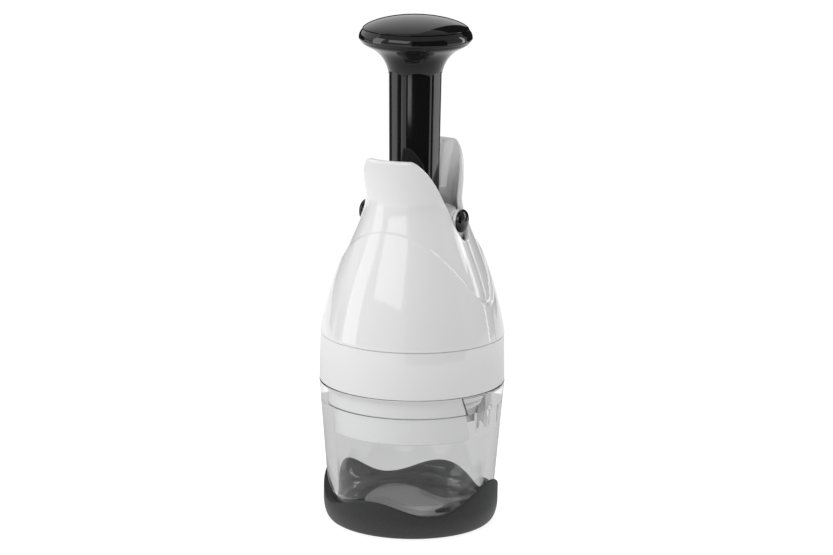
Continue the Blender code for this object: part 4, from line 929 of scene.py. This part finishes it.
def make_handle():
    """Black handle: six flats that end in arches under the round flare of the knob."""
    angles = full_turn(288)
    half = radians(30.0)
    off = np.abs((angles + half) % radians(60.0) - half)
    arch = STRAIGHT_Z + FACET_ARCH * (1.0 - (off / half) ** 2)
    rings = []

    def ring(radius, z):
        radius, z = np.broadcast_to(radius, angles.shape), np.broadcast_to(z, angles.shape)
        rings.append(np.stack((radius * np.cos(angles), radius * np.sin(angles), z), axis=1))

    def shaft(z):
        apothem = HANDLE_APOTHEM - HANDLE_DRAFT * (STRAIGHT_Z - z) / (STRAIGHT_Z - HANDLE_LOW.z)
        corner = apothem / cos(half) * CORNER_REACH
        across = np.tan(off) / tan(half)
        return soft_min((apothem + FLAT_CROWN * (1.0 - across ** 2)) / np.cos(off), corner, 0.6 * MM)

    low = HANDLE_LOW.z + 0.4 * MM
    for share in np.linspace(0.0, 1.0, 16):
        z = low + (arch - low) * share
        ring(shaft(z), z)
    lip = flare_radius(arch + FACET_LEDGE)
    ring(shaft(arch) + 0.04 * MM, arch + 0.06 * MM)
    ring(lip - 0.14 * MM, arch + FACET_LEDGE * 0.45)
    ring(lip - 0.04 * MM, arch + FACET_LEDGE * 0.65)
    for share in np.linspace(0.0, 1.0, 30) ** 1.15:
        z = arch + FACET_LEDGE + (RIM_LOW_Z - arch - FACET_LEDGE) * share
        ring(flare_radius(z), z)
    belly, crown = BELLY_Z - RIM_LOW_Z, HANDLE_HIGH.z - BELLY_Z
    shoulder_in = KNOB_SEAM_RADIUS + (KNOB_RADIUS - KNOB_SEAM_RADIUS) * 0.6
    under = bezier((UNDER_RADIUS, RIM_LOW_Z), ((UNDER_RADIUS + KNOB_RADIUS) / 2, RIM_LOW_Z + 0.2 * MM),
                   (KNOB_RADIUS, BELLY_Z - belly * 0.55), (KNOB_RADIUS, BELLY_Z), 10)
    over = bezier((KNOB_RADIUS, BELLY_Z), (KNOB_RADIUS, BELLY_Z + crown * 0.5),
                  (shoulder_in, HANDLE_HIGH.z - crown * 0.35),
                  (KNOB_SEAM_RADIUS + 0.1 * MM, HANDLE_HIGH.z), 16)
    top, shoulder = HANDLE_HIGH.z, HANDLE_LOW.z + HANDLE_SHOULDER
    inside = [
        (KNOB_SEAM_RADIUS - 0.2 * MM, top - 0.2 * MM), (HANDLE_TOP_BORE + 0.5 * MM, top - 0.3 * MM),
        (HANDLE_TOP_BORE, top - 0.8 * MM), (HANDLE_TOP_BORE, shoulder + 0.3 * MM),
        (HANDLE_TOP_BORE + 0.3 * MM, shoulder), (HANDLE_BORE, shoulder),
        (HANDLE_BORE, HANDLE_LOW.z + 0.4 * MM), (HANDLE_BORE + 0.4 * MM, HANDLE_LOW.z),
    ]
    for r, z in (*under[1:], *over[1:], *inside):
        ring(r, z)
    rings.append(rings[0] * np.array((0.97, 0.97, 1.0)) - np.array((0.0, 0.0, 0.4 * MM)))
    made = lofted("handle_and_knob", rings, loop=True)
    return dressed(smooth(made, 28.0), "plunger", BLACK, "handle")


def make_dome():
    """Domed cap set into the knob, with a fine seam round it."""
    base = HANDLE_HIGH.z + GAP
    spigot = HANDLE_TOP_BORE - GAP
    outline = [(0.3 * MM, DOME_LOW.z), (spigot - 0.3 * MM, DOME_LOW.z), (spigot, DOME_LOW.z + 0.3 * MM),
               (spigot, base), (KNOB_SEAM_RADIUS - 0.15 * MM, base)]
    rise = DOME_HIGH.z - base
    for turn in np.linspace(0.0, QUARTER, 40) ** 1.1 * QUARTER ** -0.1:
        height = base + 0.1 * MM + (rise - 0.1 * MM) * sin(turn) ** DOME_FULLNESS
        outline.append((max(KNOB_SEAM_RADIUS * cos(turn), 0.3 * MM), height))
    made = lofted("knob_dome", round_z(outline, 192), caps=True)
    return dressed(smooth(made, 35.0), "plunger", BLACK, "knob_cap")


def make_pivot_caps():
    """Black domed caps on the pivots."""
    radius = (CAP_HIGH.z - CAP_LOW.z) / 2
    plane, height = CAP_LOW.x, CAP_HIGH.x - CAP_LOW.x
    skirt = 0.9 * MM
    hollow, deep, tip = 2.8 * MM, 2.1 * MM, 0.15 * MM
    outline = [(tip, deep), (hollow, deep), (hollow, 0.0), (radius - 0.25 * MM, 0.0), (radius, 0.25 * MM),
               (radius, skirt)]
    for turn in np.linspace(0.0, QUARTER, 18)[1:]:
        outline.append((max(radius * cos(turn), tip), skirt + (height - skirt) * sin(turn) ** 0.9))
    outline = [(r, plane + x) for r, x in outline]
    for side, label in ((-1, "left"), (1, "right")):
        made = lofted(f"pivot_button_{label}", round_pivot(outline, 72, side), caps=True)
        dressed(smooth(made, 35.0), "head", BLACK, f"pivot_cap_{label}")


def make_spring():
    """Return spring wound by Geometry Nodes from named sizes."""
    thick = 0.58 * MM
    free = SPRING_HIGH.z - SPRING_LOW.z
    values = {"Turns": 9.0, "Mean radius": 6.4 * MM, "Free height": free - 2 * thick, "Wire radius": thick,
              "Start": (0.0, 0.0, SPRING_LOW.z + thick), "Finish": BRIGHT_STEEL[1]}
    tree, inputs, given, _ = node_tree("wound_spring", values, Start="NodeSocketVector")
    coil = add(tree, "GeometryNodeCurveSpiral", {
        "Resolution": 32, "Rotations": given["Turns"], "Start Radius": given["Mean radius"],
        "End Radius": given["Mean radius"], "Height": given["Free height"]})[0]
    coil = add(tree, "GeometryNodeTransform", {"Geometry": coil, "Translation": given["Start"]})[0]
    section = add(tree, "GeometryNodeCurvePrimitiveCircle", {
        "Resolution": 12, "Radius": given["Wire radius"]})["Curve"]
    closed_off(tree, given, add(tree, "GeometryNodeCurveToMesh", {
        "Curve": coil, "Profile Curve": section, "Fill Caps": True})[0])
    made = smooth(grown("spring_wire", (tree, inputs), values), 50.0)
    dressed(made, "head", BRIGHT_STEEL, "return_spring")
    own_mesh(made)


def grown(name, rule, values, source=None):
    """Run a Geometry Nodes tree on a mesh or on nothing, and keep what it makes."""
    tree, inputs = rule
    made = source or placed(name, bpy.data.meshes.new(name))
    made.name = name
    step = made.modifiers.new("grow", "NODES")
    step.node_group = tree
    for label, value in values.items():
        step[inputs[label].identifier] = value
    finished(made)
    for label in ("rise", "hug"):
        if label in made.data.attributes:
            made.data.attributes.remove(made.data.attributes[label])
    return made


def make_lights():
    """Plain soft studio: an even surround, four soft boxes, and two more that only the wings mirror."""
    world = bpy.data.worlds.new("studio")
    bpy.context.scene.world = world
    world.use_nodes = True
    sky = world.node_tree.nodes["Background"].inputs
    sky["Color"].default_value, sky["Strength"].default_value = (1.0, 1.0, 1.0, 1.0), 0.42
    soft_box("key", -36.0, 31.0, 1.25, 0.92, 0.62, 2.3)
    soft_box("side", -84.0, 18.0, 1.1, 0.45, 0.9, 2.4)
    soft_box("right", 112.0, 12.0, 1.2, 0.16, 0.9, 3.6)
    soft_box("top", 50.0, 74.0, 1.2, 0.5, 0.5, 3.6).visible_glossy = False
    lit = bpy.data.collections.new("rim_lit")
    for item in bpy.data.objects:
        if item.name.endswith("_shell"):
            lit.objects.link(item)
    for rim in (soft_box("rim", 122.0, 30.0, 1.2, 0.95, 0.7, 3.6),
                soft_box("rim_low", 150.0, 20.0, 1.2, 0.5, 0.5, 5.5)):
        rim.visible_diffuse = False
        rim.light_linking.receiver_collection = lit


def aim(azimuth, elevation, reach):
    """Point at an azimuth from the camera's side and an elevation, seen from the object's middle."""
    turn = CAMERA_AZIMUTH + radians(azimuth)
    rise = radians(elevation)
    flat = reach * cos(rise)
    return Vector((sin(turn) * flat, -cos(turn) * flat, STUDIO_Z + reach * sin(rise)))


def soft_box(name, azimuth, elevation, reach, width, height, radiance):
    """Rectangular area light that faces the object."""
    light = bpy.data.lights.new(name, "AREA")
    light.shape = "RECTANGLE"
    light.size, light.size_y = width, height
    light.energy = radiance * width * height * pi
    made = placed(name, light)
    made.location = place = aim(azimuth, elevation, reach)
    made.rotation_euler = (Vector((0, 0, STUDIO_Z)) - place).to_track_quat("-Z", "Y").to_euler()
    made.visible_camera = False
    return made


def glow(name, strength, colour=(0.01, 0.01, 0.01)):
    """Matte surface with a light of its own."""
    return new_material(name, {"Base Color": (*colour, 1.0), "Roughness": 0.9,
                               "Emission Color": (1.0, 1.0, 1.0, 1.0), "Emission Strength": strength})[0]


def fading_glow(name, inner, outer, near, far):
    """Light that grows with the distance from the object's axis."""
    made = glow(name, near)
    tree = made.node_tree
    place = add(tree, "ShaderNodeTexCoord", {})["Object"]
    reach = add(tree, "ShaderNodeVectorMath", {0: place}, operation="LENGTH")["Value"]
    span = add(tree, "ShaderNodeMapRange", {
        "From Min": inner, "From Max": outer, "To Min": near, "To Max": far, "Value": reach})["Result"]
    tree.links.new(span, tree.nodes["Principled BSDF"].inputs["Emission Strength"])
    return made


def seen_only_by(made, finish, kind):
    """Paint a stage piece, and hide it from all rays but one kind."""
    made.data.materials.append(finish)
    for ray in ("camera", "shadow", "volume_scatter", "diffuse", "glossy", "transmission"):
        setattr(made, f"visible_{ray}", ray == kind)


def sheet(name, rows, finish):
    """Patch through rows of points, which only reflections see."""
    count = len(rows[0])
    faces = [(r * count + i, r * count + i + 1, (r + 1) * count + i + 1, (r + 1) * count + i)
             for r in range(len(rows) - 1) for i in range(count - 1)]
    seen_only_by(mesh_object(name, [point for row in rows for point in row], faces), finish, "glossy")


def make_card(name, first, last, reach, low, high, finish):
    """Upright curved card between two azimuths."""
    steps = np.radians(np.linspace(first, last, 20))
    sheet(name, [[(sin(CAMERA_AZIMUTH + t) * reach, -cos(CAMERA_AZIMUTH + t) * reach, z) for t in steps]
                 for z in (low, high)], finish)


def make_canopy(name, first, last, low, high, finish):
    """Patch of sky between two azimuths and two elevations."""
    sheet(name, [[aim(turn, rise, SKY_REACH) for turn in np.linspace(first, last, 24)]
                 for rise in np.linspace(low, high, 12)], finish)


def make_ground(name, inner, outer, height, finish, kind):
    """Flat ring on the floor that only one kind of ray sees."""
    seen_only_by(lofted(name, round_z(((inner, height), (outer, height)), 64)), finish, kind)


def make_stage():
    """Pale floor, and the cards and rings that stand for the studio round it."""
    floor = mesh_object("floor", round_z([(4.0, -0.2 * MM)], 64)[0], [tuple(range(64))])
    floor.data.materials.append(glow("pale_floor", 0.86, (0.30, 0.30, 0.30)))
    black = glow("card_black", 0.0)
    # Painted shade: the floor seen through the cup is a dimmer glowing ring, so the view through the cup is
    # darker
    make_ground("ground_seen_through", 0.047, 0.6, -0.10 * MM, glow("ground_shade_through_cup", 0.6), "transmission")
    make_ground("ground_bounce", 0.047, 0.8, -0.12 * MM, glow("ground_soft", 0.80), "diffuse")
    make_ground("ground_mirrored", 0.065, 0.6, -0.14 * MM, fading_glow("ground_dim", 0.08, 0.5, 0.35, 1.0),
                "glossy")
    make_card("front_card", -8.0, 66.0, 0.62, 0.0, 0.75, black)
    make_card("rear_card", 125.0, 235.0, 1.9, 0.0, 0.42, black)
    make_card("dome_shade", 125.0, 166.0, 0.5, 0.16, 0.9, black)
    make_card("dome_outline", 166.0, 235.0, 0.5, 0.16, 0.30, black)
    make_canopy("dome_sky", 166.0, 262.0, 8.0, 84.0, glow("sky_pale", 0.85))
    for name, first, last in (("left_facet_a", -128.0, -114.9), ("left_facet_b", -109.5, -96.0),
                              ("right_facet_a", 108.0, 124.0), ("right_facet_b", 132.5, 146.0)):
        make_card(name, first, last, 0.5, 0.06, 0.15, black)
    make_card("facet_spark", 0.8, 5.0, 0.60, 0.086, 0.118, glow("card_bright", 2.4))


def make_camera():
    """Camera at the photograph's place, from the fitted distance, pitch and roll."""
    lens = bpy.data.cameras.new("camera")
    lens.sensor_width = SENSOR
    lens.lens = FOCAL_PIXELS / IMAGE_WIDTH * SENSOR
    lens.clip_end = 20.0
    made = placed("camera", lens)
    side = Vector((cos(CAMERA_AZIMUTH), sin(CAMERA_AZIMUTH), 0.0))
    ahead = Vector((-sin(CAMERA_AZIMUTH), cos(CAMERA_AZIMUTH), 0.0))
    back = -(ahead * cos(CAMERA_PITCH) - Vector((0, 0, 1)) * sin(CAMERA_PITCH))
    up = back.cross(side)
    right = side * cos(CAMERA_ROLL) + up * sin(CAMERA_ROLL)
    up = back.cross(right)
    place = -ahead * CAMERA_REACH + Vector((0, 0, CAMERA_HEIGHT)) + side * CAMERA_SIDE
    made.matrix_world = Matrix((*zip(right, up, back, place), (0, 0, 0, 1)))
    bpy.context.scene.camera = made


bpy.context.scene.view_settings.view_transform = "Standard"
make_camera()
make_foot()
make_cup()
make_collar()
make_wings()
make_handle()
make_dome()
make_pivot_caps()
make_spring()
make_fasteners()
make_hub_flanges()
make_mechanism()
make_lights()
make_stage()
